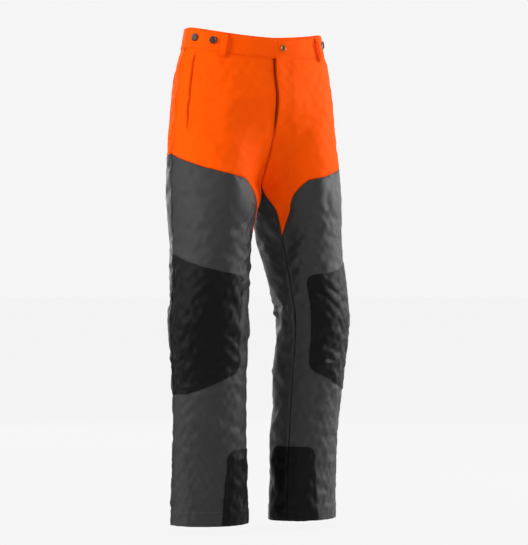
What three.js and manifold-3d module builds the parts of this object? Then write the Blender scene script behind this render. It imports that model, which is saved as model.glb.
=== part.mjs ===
// Chainsaw protective trousers, as an assembly of sewn panels, guard pads, patches, fastenings
// and a zip. Millimetres, +Z up. The origin is the centre of the waist opening, the front faces
// -Y and the wearer's left is +X. Fabric that bends at a hip or a knee is a panel of its own.

import * as THREE from "three";
import Module from "manifold-3d";
import { mergeVertices } from "three/addons/utils/BufferGeometryUtils.js";

const wasm = await Module();
wasm.setup();

// ---- Driving dimensions -------------------------------------------------------------------

const HEM = -1070; // depth of the hems below the waist rim
const CROTCH = -334; // depth of the crotch point
const BAND_HEIGHT = 44; // waistband, measured at the side
const FRONT_DIP = 24; // the rim is this much lower at the centre front
const FABRIC = 2; // outer fabric with its seam allowances
const PAD = 5; // cut-protection fibres, all layers
const LAYER_GAP = 1; // between a panel and the patch sewn on it
const LINING_GAP = 3; // between a panel and the pad or pocket bag inside it
const SEAM_GAP = 0.4; // between panels that meet edge to edge
const COLUMNS = 24; // facets round one leg
const ROW_STEP = 40; // height of one facet row, at most
const EDGE_INSET = 0.0018; // share of the ring that each side of a long seam gives up

// Depths that divide the rigid parts from the fabric that bends.
const HIP_FOLD = { top: -240, bottom: -430 };
const KNEE_FOLD = { top: -520, bottom: -760 };
const ANKLE_PATCH_TOP = -912;
const KNEE_PATCH = { top: -505, bottom: -785, inner: 2 / COLUMNS };

// Half-sections of the pelvis: depth, half width, front depth, back depth.
const PELVIS = [
  [0, 159, 104, 110],
  [-36, 165, 106, 114],
  [-72, 177, 110, 118],
  [-157, 190, 116, 127],
  [-286, 200, 123, 130],
  [HEM, 203, 122, 126],
];

// Sections of the right leg: depth, centre across, centre fore and aft, half width, half depth,
// and how far the section is turned outwards, in degrees.
const LEG = [
  [0, -101, -2, 101, 122, 0],
  [CROTCH, -101, -3, 101, 120, 2],
  [-436, -111, -7, 89, 107, 4],
  [-480, -115, -12, 86, 99, 5],
  [-560, -123, -26, 85, 83, 8],
  [-640, -130, -34, 85, 73, 10],
  [-800, -122, -24, 81, 68, 11],
  [-950, -118, -16, 82, 63, 13],
  [HEM, -117, -14, 84, 61, 14],
];

const SPLIT_TOP = -200; // the pelvis starts to divide into two legs
const SPLIT_BOTTOM = -400;
const RISE_TOP = -150; // the centre seams start to curve in towards the crotch
const CROTCH_Y = -34;
const BAND_STAND = 0.8; // the waistband stands this proud of the panels
const BAND_THICKNESS = 4;
const HALF_WAIST = 430; // half the way round the waist
const LOOP_WIDTH = 13;
const LOOP_SPACE = 6; // room for a belt under a loop
const LOOP_OVERHANG = 9; // a loop ends this far below the band
const SLIDER_TOP_ROOM = 2.5; // the chain starts this far below the slider's top
const INSEAM_ANGLE = (26 * Math.PI) / 180; // the inseam lies ahead of the leg's inner side
const RISE_REACH = 0.22; // share of the ring that the centre seam draws in
const FRONT_RISE_POWER = 1.3;
const BACK_RISE_POWER = 2.2;

const SIDES = [
  { name: "right", sign: -1 },
  { name: "left", sign: 1 },
];

// ---- Materials ----------------------------------------------------------------------------

const material = (color, roughness, metalness = 0) =>
  new THREE.MeshStandardMaterial({ color, roughness, metalness });

const ORANGE = material(0xf6600a, 0.75);
const ORANGE_DARK = material(0xc94a08, 0.8);
const GREY = material(0x46474a, 0.85);
const BLACK = material(0x17171a, 0.8);
const LINING = material(0x2b2c30, 0.9);
const PAD_WHITE = material(0xd8d6cf, 0.95);
const BUTTON_BROWN = material(0x2a1410, 0.4);
const BRASS = material(0x9a6a2c, 0.35, 0.9);

// ---- Numbers ------------------------------------------------------------------------------

const lerp = (a, b, t) => a + (b - a) * t;
const clamp01 = (t) => Math.min(1, Math.max(0, t));

function smooth(t) {
  const s = clamp01(t);
  return s * s * (3 - 2 * s);
}

/** The values of a table of stations at one depth, eased from station to station. */
function station(table, depth) {
  let i = 0;
  while (i < table.length - 2 && depth < table[i + 1][0]) i += 1;
  const [above, below] = [table[i], table[i + 1]];
  const t = clamp01((above[0] - depth) / (above[0] - below[0]));
  const slope = (k, column) => {
    const [p, q] = [table[Math.max(k - 1, 0)], table[Math.min(k + 1, table.length - 1)]];
    return (q[column] - p[column]) / (p[0] - q[0]);
  };
  const span = above[0] - below[0];
  return above.slice(1).map((_, k) => {
    const column = k + 1;
    const [m0, m1] = [slope(i, column) * span, slope(i + 1, column) * span];
    const [t2, t3] = [t * t, t * t * t];
    return (
      (2 * t3 - 3 * t2 + 1) * above[column] +
      (t3 - 2 * t2 + t) * m0 +
      (-2 * t3 + 3 * t2) * below[column] +
      (t3 - t2) * m1
    );
  });
}

// ---- The body form ------------------------------------------------------------------------
// A point of the right half is given by its place round the half, from 0 at the centre front
// or inseam, through 0.5 at the side seam, to 1 at the centre back or inseam, and by its depth.

function pelvisPoint(round, depth) {
  const [width, front, back] = station(PELVIS, depth);
  const angle = Math.PI * round;
  const reach = Math.cos(angle) > 0 ? front : back;
  return [-width * Math.sin(angle), -reach * Math.cos(angle)];
}

function legPoint(round, depth) {
  const [x, y, width, length, turn] = station(LEG, depth);
  const angle =
    round < 0.5
      ? lerp(INSEAM_ANGLE, Math.PI, round * 2)
      : lerp(Math.PI, 2 * Math.PI + INSEAM_ANGLE, round * 2 - 1);
  const [across, ahead] = [width * Math.cos(angle), length * Math.sin(angle)];
  const [c, s] = [Math.cos((turn * Math.PI) / 180), Math.sin((turn * Math.PI) / 180)];
  return [x + across * c - ahead * s, y - across * s - ahead * c];
}

/** The centre seam above the crotch, and the inseam below it. */
function seamPoint(isFront, depth) {
  const t = clamp01((RISE_TOP - depth) / (RISE_TOP - CROTCH));
  const [, front, back] = station(PELVIS, depth);
  const power = isFront ? FRONT_RISE_POWER : BACK_RISE_POWER;
  const rise = [0, lerp(isFront ? -front : back, CROTCH_Y, t ** power)];
  const inseam = legPoint(0, depth);
  const below = smooth((CROTCH - depth) / (CROTCH - SPLIT_BOTTOM));
  return [lerp(rise[0], inseam[0], below), lerp(rise[1], inseam[1], below)];
}

function formPoint(round, depth) {
  const ring = round < 0 ? round + 1 : round;
  const split = smooth((SPLIT_TOP - depth) / (SPLIT_TOP - SPLIT_BOTTOM));
  const blend = (r) => {
    const [p, q] = [pelvisPoint(r, depth), legPoint(r, depth)];
    return [lerp(p[0], q[0], split), lerp(p[1], q[1], split)];
  };
  const isFront = ring < 0.5;
  const end = isFront ? 0 : 1;
  const pull = 1 - smooth(Math.abs(ring - end) / RISE_REACH);
  const [point, free, seam] = [blend(ring), blend(end), seamPoint(isFront, depth)];
  return new THREE.Vector3(
    Math.min(point[0] + pull * (seam[0] - free[0]), 0),
    point[1] + pull * (seam[1] - free[1]),
    depth,
  );
}

/** Whether a place round the half has passed the centre seam into the other half. */
const isPastCentre = (round, depth) => depth > CROTCH && (round < 0 || round > 1);

const mirrored = (point) => new THREE.Vector3(-point.x, point.y, point.z);

/** The way out of the fabric, for the right half. */
function outward(round, depth) {
  if (isPastCentre(round, depth)) {
    return mirrored(outward(round < 0 ? -round : 2 - round, depth));
  }
  const [du, dz] = [0.004, 2];
  const isAtSeam = depth > CROTCH && (round < du || round > 1 - du);
  const across = isAtSeam
    ? new THREE.Vector3(round < 0.5 ? -1 : 1, 0, 0)
    : formPoint(round + du, depth).sub(formPoint(round - du, depth));
  const down = formPoint(round, depth - dz).sub(formPoint(round, depth + dz));
  return across.cross(down).normalize();
}

/** A point at a distance off the form, for the right half. */
function offsetPoint(round, depth, distance) {
  if (isPastCentre(round, depth)) {
    return mirrored(offsetPoint(round < 0 ? -round : 2 - round, depth, distance));
  }
  const point = formPoint(round, depth).addScaledVector(outward(round, depth), distance);
  point.x = Math.min(point.x, 0) - SEAM_GAP / 2;
  return point;
}

const rimDepth = (round) => -FRONT_DIP * Math.max(0, Math.cos(Math.PI * round)) ** 1.5;
const bandDepth = (round) => rimDepth(round) - BAND_HEIGHT;

// The orange fabric ends on a slant across the thigh, and in a pointed tongue down the inseam.
const COLOUR_END = { side: -273, front: -330, back: -318, bend: 0.12, power: 1.25 };
const TONGUE = { length: 120, reach: 0.155, power: 1.35 };

/** Where the orange fabric ends and the grey begins. */
function colourDepth(round) {
  if (round >= 0.5) return lerp(COLOUR_END.side, COLOUR_END.back, smooth((round - 0.5) * 2));
  const climb = clamp01((round - COLOUR_END.bend) / (0.5 - COLOUR_END.bend));
  const slant = lerp(COLOUR_END.front, COLOUR_END.side, climb ** COLOUR_END.power);
  const tip = clamp01((TONGUE.reach - round) / TONGUE.reach);
  return slant - TONGUE.length * tip ** TONGUE.power;
}

// ---- Geometry helpers ---------------------------------------------------------------------

function closedGeometry(points, faces) {
  const geometry = new THREE.BufferGeometry();
  const positions = points.flatMap((p) => [p.x, p.y, p.z]);
  geometry.setAttribute("position", new THREE.Float32BufferAttribute(positions, 3));
  geometry.setIndex(faces.flat());
  geometry.computeVertexNormals();
  return geometry;
}

/** Joins an outer and an inner grid of points, given as rows, into one closed shell. */
function shellGeometry(outer, inner, flip) {
  const [rows, columns] = [outer.length, outer[0].length];
  const points = [...outer.flat(), ...inner.flat()];
  const at = (layer, j, i) => layer * rows * columns + j * columns + i;
  const faces = [];
  const quad = (a, b, c, d) => {
    faces.push(flip ? [a, c, b] : [a, b, c], flip ? [a, d, c] : [a, c, d]);
  };
  for (let j = 0; j < rows - 1; j += 1) {
    for (let i = 0; i < columns - 1; i += 1) {
      quad(at(0, j, i), at(0, j, i + 1), at(0, j + 1, i + 1), at(0, j + 1, i));
      quad(at(1, j, i), at(1, j + 1, i), at(1, j + 1, i + 1), at(1, j, i + 1));
    }
    quad(at(0, j, 0), at(0, j + 1, 0), at(1, j + 1, 0), at(1, j, 0));
    const last = columns - 1;
    quad(at(0, j, last), at(1, j, last), at(1, j + 1, last), at(0, j + 1, last));
  }
  for (let i = 0; i < columns - 1; i += 1) {
    quad(at(0, 0, i), at(1, 0, i), at(1, 0, i + 1), at(0, 0, i + 1));
    const last = rows - 1;
    quad(at(0, last, i), at(0, last, i + 1), at(1, last, i + 1), at(1, last, i));
  }
  return closedGeometry(points, faces);
}

/** The columns of a panel: its two edges and every facet line between them. */
function columnsBetween(from, to) {
  const near = 0.3 / COLUMNS;
  const lines = [];
  for (let k = -COLUMNS; k <= 2 * COLUMNS; k += 1) {
    const line = k / COLUMNS;
    if (line > from + near && line < to - near) lines.push(line);
  }
  return [from, ...lines, to];
}

/**
 * A sewn panel: a shell from one place round the form to another, between two depths.
 * bulge lists how far each row stands out, from the top row down, and evenly spaced.
 */
function panel({ sign, from, to, top, bottom, outer = 0, thickness = FABRIC, bulge = null }) {
  const columns = columnsBetween(from + EDGE_INSET, to - EDGE_INSET);
  const edge = (depth, round) => (typeof depth === "function" ? depth(round) : depth);
  const height = Math.max(...columns.map((round) => edge(top, round) - edge(bottom, round)));
  const rows = bulge ? bulge.length - 1 : Math.max(1, Math.ceil(height / ROW_STEP));
  const grid = (distance) =>
    Array.from({ length: rows + 1 }, (_, j) =>
      columns.map((round) => {
        const [high, low] = [edge(top, round) - SEAM_GAP / 2, edge(bottom, round) + SEAM_GAP / 2];
        const stand = distance + (bulge ? bulge[j] : 0);
        const point = offsetPoint(round, lerp(high, low, j / rows), stand);
        return sign > 0 ? mirrored(point) : point;
      }),
    );
  return shellGeometry(grid(outer), grid(outer - thickness), sign > 0);
}

function asSolid(geometry) {
  const bare = geometry.clone();
  bare.deleteAttribute("normal");
  bare.deleteAttribute("uv");
  const merged = mergeVertices(bare, 1e-4);
  const vertProperties = new Float32Array(merged.attributes.position.array);
  const triVerts = new Uint32Array(merged.index.array);
  return new wasm.Manifold(new wasm.Mesh({ numProp: 3, vertProperties, triVerts }));
}

/** One closed body from overlapping ones. */
function joined(...geometries) {
  const mesh = geometries
    .map(asSolid)
    .reduce((sum, solid) => sum.add(solid))
    .getMesh();
  const geometry = new THREE.BufferGeometry();
  geometry.setAttribute("position", new THREE.BufferAttribute(mesh.vertProperties, 3));
  geometry.setIndex(new THREE.BufferAttribute(mesh.triVerts, 1));
  geometry.computeVertexNormals();
  return geometry;
}

/** A block between two corners. */
function block([x0, y0, z0], [x1, y1, z1]) {
  return new THREE.BoxGeometry(x1 - x0, y1 - y0, z1 - z0).translate(
    (x0 + x1) / 2,
    (y0 + y1) / 2,
    (z0 + z1) / 2,
  );
}

/** A turned piece with its axis along +Z, from (radius, height) points on the axis to the axis. */
function turned(profile, segments = 16) {
  const points = profile.map(([radius, height]) => new THREE.Vector2(radius, height));
  return new THREE.LatheGeometry(points, segments).rotateX(Math.PI / 2);
}

// ---- The assembly -------------------------------------------------------------------------

const trousers = new THREE.Group();
trousers.name = "chainsaw_trousers";

function add(name, geometry, finish, parent = trousers) {
  const mesh = new THREE.Mesh(geometry, finish);
  mesh.name = name;
  parent.add(mesh);
  return mesh;
}

// Legs and seat: the front runs from the centre to the side seam, the back from there on.
const FRONT = { from: 0, to: 0.5 };
const BACK = { from: 0.5, to: 1 };

const foldTop = () => HIP_FOLD.top;
const backFoldTop = (round) => Math.max(colourDepth(round) + 20, HIP_FOLD.top);

for (const { name, sign } of SIDES) {
  const sewn = (node, finish, options) => add(`${node}_${name}`, panel({ sign, ...options }), finish);

  sewn("front_panel", ORANGE, { ...FRONT, top: bandDepth, bottom: foldTop });
  sewn("back_panel", ORANGE, { ...BACK, top: bandDepth, bottom: backFoldTop });
  sewn("groin_front", ORANGE, { ...FRONT, top: foldTop, bottom: colourDepth });
  sewn("groin_back", ORANGE, { ...BACK, top: backFoldTop, bottom: colourDepth });

  sewn("hip_front", GREY, { ...FRONT, top: colourDepth, bottom: HIP_FOLD.bottom - 30 });
  sewn("hip_back", GREY, { ...BACK, top: colourDepth, bottom: HIP_FOLD.bottom - 30 });
  const thigh = { top: HIP_FOLD.bottom - 30, bottom: KNEE_FOLD.top };
  sewn("thigh_front", GREY, { ...FRONT, ...thigh });
  sewn("thigh_back", GREY, { ...BACK, ...thigh });
  sewn("knee_front", GREY, { ...FRONT, ...KNEE_FOLD });
  sewn("knee_back", GREY, { ...BACK, ...KNEE_FOLD });
  const shin = { top: KNEE_FOLD.bottom, bottom: HEM };
  sewn("shin_front", GREY, { ...FRONT, ...shin });
  sewn("shin_back", GREY, { ...BACK, ...shin });

  // Patches lie on the outside of the panels.
  const onTop = { outer: LAYER_GAP + FABRIC, thickness: FABRIC };
  sewn("knee_patch", BLACK, {
    from: KNEE_PATCH.inner,
    to: 0.5,
    top: (round) => lerp(KNEE_PATCH.top - 24, KNEE_PATCH.top, smooth((round - 0.2) / 0.25)),
    bottom: (round) => lerp(KNEE_PATCH.bottom + 44, KNEE_PATCH.bottom, smooth(round / 0.26)),
    ...onTop,
  });
  sewn("ankle_patch", BLACK, {
    from: -0.1,
    to: 0.195,
    top: ANKLE_PATCH_TOP,
    bottom: HEM,
    ...onTop,
  });

  // The guard pads line the front of the leg.
  const inside = { outer: -FABRIC - LINING_GAP, thickness: PAD, from: 2 / COLUMNS, to: 11 / COLUMNS };
  sewn("guard_pad_hip", PAD_WHITE, { ...inside, top: -205, bottom: KNEE_FOLD.top });
  sewn("guard_pad_knee", PAD_WHITE, { ...inside, ...KNEE_FOLD });
  sewn("guard_pad_shin", PAD_WHITE, { ...inside, top: KNEE_FOLD.bottom, bottom: HEM + 35 });

  sewn("pocket_bag", LINING, {
    outer: -FABRIC - LINING_GAP,
    thickness: 3,
    from: 7 / COLUMNS,
    to: 11.6 / COLUMNS,
    top: -60,
    bottom: -200,
  });
}

// The seat pocket, sewn on the right back panel, with a pointed lower edge.
const SEAT_POCKET = { top: -92, side: -212, point: 18 };
add(
  "seat_pocket",
  panel({
    sign: -1,
    outer: LAYER_GAP + FABRIC,
    from: 15 / COLUMNS,
    to: 21 / COLUMNS,
    top: SEAT_POCKET.top,
    bottom: (round) => SEAT_POCKET.side - SEAT_POCKET.point * (1 - Math.abs(round - 0.75) / 0.125),
  }),
  ORANGE,
);

// Waistband: two fronts that meet at the fly, and one back from side seam to side seam.
const band = { top: rimDepth, bottom: bandDepth, outer: BAND_STAND, thickness: BAND_THICKNESS };
add("waistband_right", panel({ sign: -1, ...FRONT, ...band }), ORANGE);
add("waistband_left", panel({ sign: 1, ...FRONT, ...band }), ORANGE);
add("waistband_back", panel({ sign: -1, from: 0.5, to: 1.5, ...band }), ORANGE_DARK);

// Belt loops stand off the band so that a belt passes under them.
const LOOP_PLACES = { front: 0.244, back: 0.72, centreBack: 1 };
function beltLoop(name, sign, round) {
  const half = LOOP_WIDTH / 2 / HALF_WAIST;
  const low = BAND_STAND + LAYER_GAP + FABRIC;
  const loop = panel({
    sign,
    from: round - half,
    to: round + half,
    top: (r) => rimDepth(r) - 1,
    bottom: (r) => bandDepth(r) - LOOP_OVERHANG,
    outer: low,
    bulge: [0, LOOP_SPACE, LOOP_SPACE, LOOP_SPACE, LOOP_SPACE, LOOP_SPACE, 0],
  });
  add(name, loop, ORANGE);
}

for (const { name, sign } of SIDES) {
  beltLoop(`belt_loop_front_${name}`, sign, LOOP_PLACES.front);
  beltLoop(`belt_loop_back_${name}`, sign, LOOP_PLACES.back);
}
beltLoop("belt_loop_centre_back", -1, LOOP_PLACES.centreBack);

// ---- Buttons ------------------------------------------------------------------------------

/** Stands a turned piece on the outside of the waistband. */
function onBand(mesh, sign, round, below) {
  const depth = rimDepth(round) - below;
  const out = outward(round, depth);
  const point = offsetPoint(round, depth, BAND_STAND + LAYER_GAP);
  mesh.position.copy(sign > 0 ? mirrored(point) : point);
  const way = sign > 0 ? mirrored(out) : out;
  mesh.quaternion.setFromUnitVectors(new THREE.Vector3(0, 0, 1), way);
}

// A brace button: a stem, a domed edge and a flat face.
const braceButton = () =>
  turned([
    [0, 0],
    [3.2, 0],
    [3.2, 1.6],
    [7.2, 2],
    [8.4, 3],
    [8.2, 4.2],
    [6.2, 5],
    [0, 5],
  ]);

const waistButton = () =>
  turned([
    [0, 0],
    [2.6, 0],
    [2.6, 1.6],
    [6.4, 2],
    [7, 2.8],
    [6.4, 3.8],
    [4.6, 4.2],
    [3.6, 3.4],
    [0, 3.4],
  ]);

const BRACE_PLACES = { inner: 0.3, side: 0.417, back: 0.93 };
const BRACE_BELOW_RIM = 21;
const WAIST_BUTTON_ROUND = 0.02;
for (const { name, sign } of SIDES) {
  for (const [place, round] of Object.entries(BRACE_PLACES)) {
    const button = add(`brace_button_${place}_${name}`, braceButton(), BUTTON_BROWN);
    onBand(button, sign, round, BRACE_BELOW_RIM);
  }
}
onBand(add("waist_button", waistButton(), BRASS), 1, WAIST_BUTTON_ROUND, BAND_HEIGHT / 2);

// ---- Fly and zip --------------------------------------------------------------------------

const FLY_BOTTOM = -222;
const flyDepths = { top: bandDepth, bottom: FLY_BOTTOM };

// The folded edge of the left front lies over the right front.
const overlap = { outer: 2 * LAYER_GAP + FABRIC, from: -0.012, to: 0.066 };
add("fly_overlap", panel({ sign: 1, ...overlap, ...flyDepths }), ORANGE);

// The zip runs straight, behind the fly, in a frame whose -Z runs down it.
const ZIP = { y: -97, belowBand: 4, lean: 0.085 };
const zip = new THREE.Group();
zip.position.set(0, ZIP.y, -FRONT_DIP - BAND_HEIGHT - ZIP.belowBand);
zip.rotation.x = ZIP.lean;
trousers.add(zip);

const CHAIN = { half: 2.5, thickness: 2.4, length: 140 };
const TAPE = { width: 13, thickness: 1, above: 10 };
const chainHalf = CHAIN.thickness / 2;
const zipEnd = -CHAIN.length - 6;

add(
  "zip_chain",
  block([-CHAIN.half, -chainHalf, -CHAIN.length], [CHAIN.half, chainHalf, -SLIDER_TOP_ROOM]),
  BRASS,
  zip,
);
for (const { name, sign } of SIDES) {
  const [near, far] = [CHAIN.half + SEAM_GAP, CHAIN.half + SEAM_GAP + TAPE.width];
  const edges = [near * sign, far * sign].sort((a, b) => a - b);
  const tapeHalf = TAPE.thickness / 2;
  add(
    `zip_tape_${name}`,
    block([edges[0], -tapeHalf, zipEnd], [edges[1], tapeHalf, 0]),
    ORANGE_DARK,
    zip,
  );
}

// The slider: two plates that hold the chain, a bridge above it and an arch for the pull.
const SLIDER = { half: 4.8, length: 11, plate: 1.2, space: 0.6 };
const plateIn = chainHalf + SLIDER.space;
const plateOut = plateIn + SLIDER.plate;
const ARCH = { bar: 1.1, gap: 1.5, from: -6.5, to: -1.5 };
const barFront = plateOut + ARCH.gap + ARCH.bar;
const slider = joined(
  block([-SLIDER.half, -plateOut, -SLIDER.length], [SLIDER.half, -plateIn, 0]),
  block([-SLIDER.half, plateIn, -SLIDER.length], [SLIDER.half, plateOut, 0]),
  block([-1.2, -plateOut, -2], [1.2, plateOut, 0]),
  block([-0.9, -barFront, ARCH.from], [0.9, -plateOut - ARCH.gap, ARCH.to]),
  block([-0.9, -barFront, ARCH.from], [0.9, -plateIn, ARCH.from + 1.2]),
  block([-0.9, -barFront, ARCH.to - 1.2], [0.9, -plateIn, ARCH.to]),
);
add("zip_slider", slider, BRASS, zip);

// The pull: a flat tab whose eye goes round the arch and hangs below it.
const PULL = { half: 3.4, thickness: 0.9, length: 24 };
const eyeMiddle = -plateOut - ARCH.gap / 2;
const pullOutline = new THREE.Shape();
const pullTop = ARCH.to - 1.2 - 0.4;
pullOutline.moveTo(-PULL.half + 1, pullTop);
pullOutline.lineTo(PULL.half - 1, pullTop);
pullOutline.lineTo(PULL.half, pullTop - 1);
pullOutline.lineTo(PULL.half - 0.6, pullTop - PULL.length);
pullOutline.lineTo(-PULL.half + 0.6, pullTop - PULL.length);
pullOutline.lineTo(-PULL.half, pullTop - 1);
pullOutline.closePath();
const eye = new THREE.Path();
const eyeEdges = { half: 1.5, top: pullTop - 0.9, bottom: ARCH.from - 1.6 };
eye.moveTo(-eyeEdges.half, eyeEdges.top);
eye.lineTo(-eyeEdges.half, eyeEdges.bottom);
eye.lineTo(eyeEdges.half, eyeEdges.bottom);
eye.lineTo(eyeEdges.half, eyeEdges.top);
eye.closePath();
pullOutline.holes.push(eye);
const pull = new THREE.ExtrudeGeometry(pullOutline, { depth: PULL.thickness, bevelEnabled: false })
  .rotateX(Math.PI / 2)
  .translate(0, eyeMiddle + PULL.thickness / 2, 0);
add("zip_pull", pull, BRASS, zip);

// The shield keeps the zip off the wearer.
const SHIELD = { right: -24, left: 16, front: 7, back: 9 };
const shieldEnds = [zipEnd - 2, 0];
add(
  "fly_shield",
  block([SHIELD.right, SHIELD.front, shieldEnds[0]], [SHIELD.left, SHIELD.back, shieldEnds[1]]),
  LINING,
  zip,
);

export default trousers;
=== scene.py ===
"""Chainsaw protective trousers: sewn panels draped on a body form, with patches, stitching and fastenings.

Everything is in metres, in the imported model's frame: the origin is the centre of the waist opening,
+Z is up, the front faces -Y and the wearer's left is +X. A place on a half of the garment is given by
"round", from 0 at the centre front or inseam, through 0.5 at the side seam, to 1 at the centre back or
inseam, and by its depth, which is its height in the frame and so is negative below the waist.
"""

import logging
import math
from dataclasses import dataclass, field
from enum import Enum
from typing import Callable

import bmesh
import bpy
import numpy as np
from mathutils import Matrix, Vector


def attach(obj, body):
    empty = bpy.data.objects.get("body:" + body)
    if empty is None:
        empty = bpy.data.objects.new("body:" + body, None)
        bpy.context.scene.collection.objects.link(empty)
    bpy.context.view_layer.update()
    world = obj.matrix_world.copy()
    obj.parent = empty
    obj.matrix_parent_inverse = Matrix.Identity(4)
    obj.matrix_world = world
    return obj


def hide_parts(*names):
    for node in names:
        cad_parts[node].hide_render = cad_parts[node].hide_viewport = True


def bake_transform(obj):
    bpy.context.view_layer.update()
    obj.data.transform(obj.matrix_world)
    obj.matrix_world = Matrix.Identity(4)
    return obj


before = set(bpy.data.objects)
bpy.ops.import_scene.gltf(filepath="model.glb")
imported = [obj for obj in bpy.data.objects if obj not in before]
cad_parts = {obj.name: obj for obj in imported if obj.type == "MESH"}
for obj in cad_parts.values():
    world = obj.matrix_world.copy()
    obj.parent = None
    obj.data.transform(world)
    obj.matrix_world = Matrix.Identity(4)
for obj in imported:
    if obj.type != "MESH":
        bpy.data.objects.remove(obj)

LOG = logging.getLogger("trousers")
MM = 0.001
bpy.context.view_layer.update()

HEM = -1.070
CROTCH = -0.334
BAND_HEIGHT = 0.044
FRONT_DIP = 0.024
KNEE_SPLIT = -0.503
INSEAM_ANGLE = math.radians(26)
SPLIT_TOP, SPLIT_BOTTOM = -0.200, -0.400
RISE_TOP = -0.150
CROTCH_Y = -0.034
RISE_REACH = 0.22
FRONT_RISE_POWER, BACK_RISE_POWER = 1.3, 2.2
COLOUR_FRONT, COLOUR_SIDE, COLOUR_BACK = -0.330, -0.273, -0.318
SLANT_START, SLANT_POWER = 0.12, 1.25
TONGUE_LENGTH, TONGUE_REACH, TONGUE_POWER = 0.120, 0.155, 1.35
POCKET_ROUND = 0.395
FLY_BOTTOM = -0.222
STITCH_ROWS = (0.003, 0.0085)
SEAM_STEPS = (0.0011, 0.0024, 0.0040, 0.0060, 0.0090)
FINE_COLUMNS, FINE_ROW = 192, 0.00356

Array = np.ndarray
Curve = Callable[[Array], Array]


class Side(Enum):
    """The wearer's side that a piece is on."""

    RIGHT = "right"
    LEFT = "left"

    @property
    def sign(self) -> float:
        """-1 on the right, +1 on the left."""
        return -1.0 if self is Side.RIGHT else 1.0

    @property
    def other(self) -> "Side":
        """The opposite side."""
        return Side.LEFT if self is Side.RIGHT else Side.RIGHT


def smooth(t: Array) -> Array:
    """Eases 0..1, clamped outside.

    Args:
        t: values of any range.
    Returns:
        The eased values.
    """
    s = np.clip(t, 0.0, 1.0)
    return s * s * (3 - 2 * s)


def lerp(a: Array, b: Array, t: Array) -> Array:
    """Returns the value a share t of the way from a to b."""
    return a + (b - a) * t


def bell(x: Array, width: float) -> Array:
    """Returns a bell curve, 1 at 0 and falling off over the width."""
    return np.exp(-((x / width) ** 2))


def fold_back(round_: Array) -> Array:
    """Takes a place past the centre back to the same place on the other half."""
    return np.where(round_ > 1, 2 - round_, round_)


def as_mesh(bm: bmesh.types.BMesh, name: str) -> bpy.types.Mesh:
    """Turns a bmesh into a mesh and frees it."""
    mesh = bpy.data.meshes.new(name)
    bm.to_mesh(mesh)
    bm.free()
    return mesh


def as_object(name: str, data: bpy.types.ID) -> bpy.types.Object:
    """Puts a mesh, a light or a camera in the scene."""
    piece = bpy.data.objects.new(name, data)
    bpy.context.collection.objects.link(piece)
    return piece


# ---- The body form ------------------------------------------------------------------------


@dataclass(frozen=True)
class Stations:
    """Sections of the body at a few depths, eased from one to the next. The numbers are millimetres."""

    rows: tuple[tuple[float, ...], ...]

    def at(self, depth: Array) -> list[Array]:
        """Reads every column of the table.

        Args:
            depth: depths in metres.
        Returns:
            One array for each column after the depth, in the table's own units.
        """
        table = np.array(self.rows, float)
        height = table[:, 0]
        last = len(table) - 1
        mm = np.asarray(depth, float) / MM
        i = np.clip(np.searchsorted(-height, -mm, side="left") - 1, 0, last - 1)
        span = height[i] - height[i + 1]
        t = np.clip((height[i] - mm) / span, 0, 1)
        before, after = np.maximum(np.arange(last + 1) - 1, 0), np.minimum(np.arange(last + 1) + 1, last)
        found = []
        for column in range(1, table.shape[1]):
            values = table[:, column]
            slope = (values[after] - values[before]) / (height[before] - height[after])
            found.append(
                (2 * t**3 - 3 * t**2 + 1) * values[i]
                + (t**3 - 2 * t**2 + t) * slope[i] * span
                + (-2 * t**3 + 3 * t**2) * values[i + 1]
                + (t**3 - t**2) * slope[i + 1] * span
            )
        return found


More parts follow.
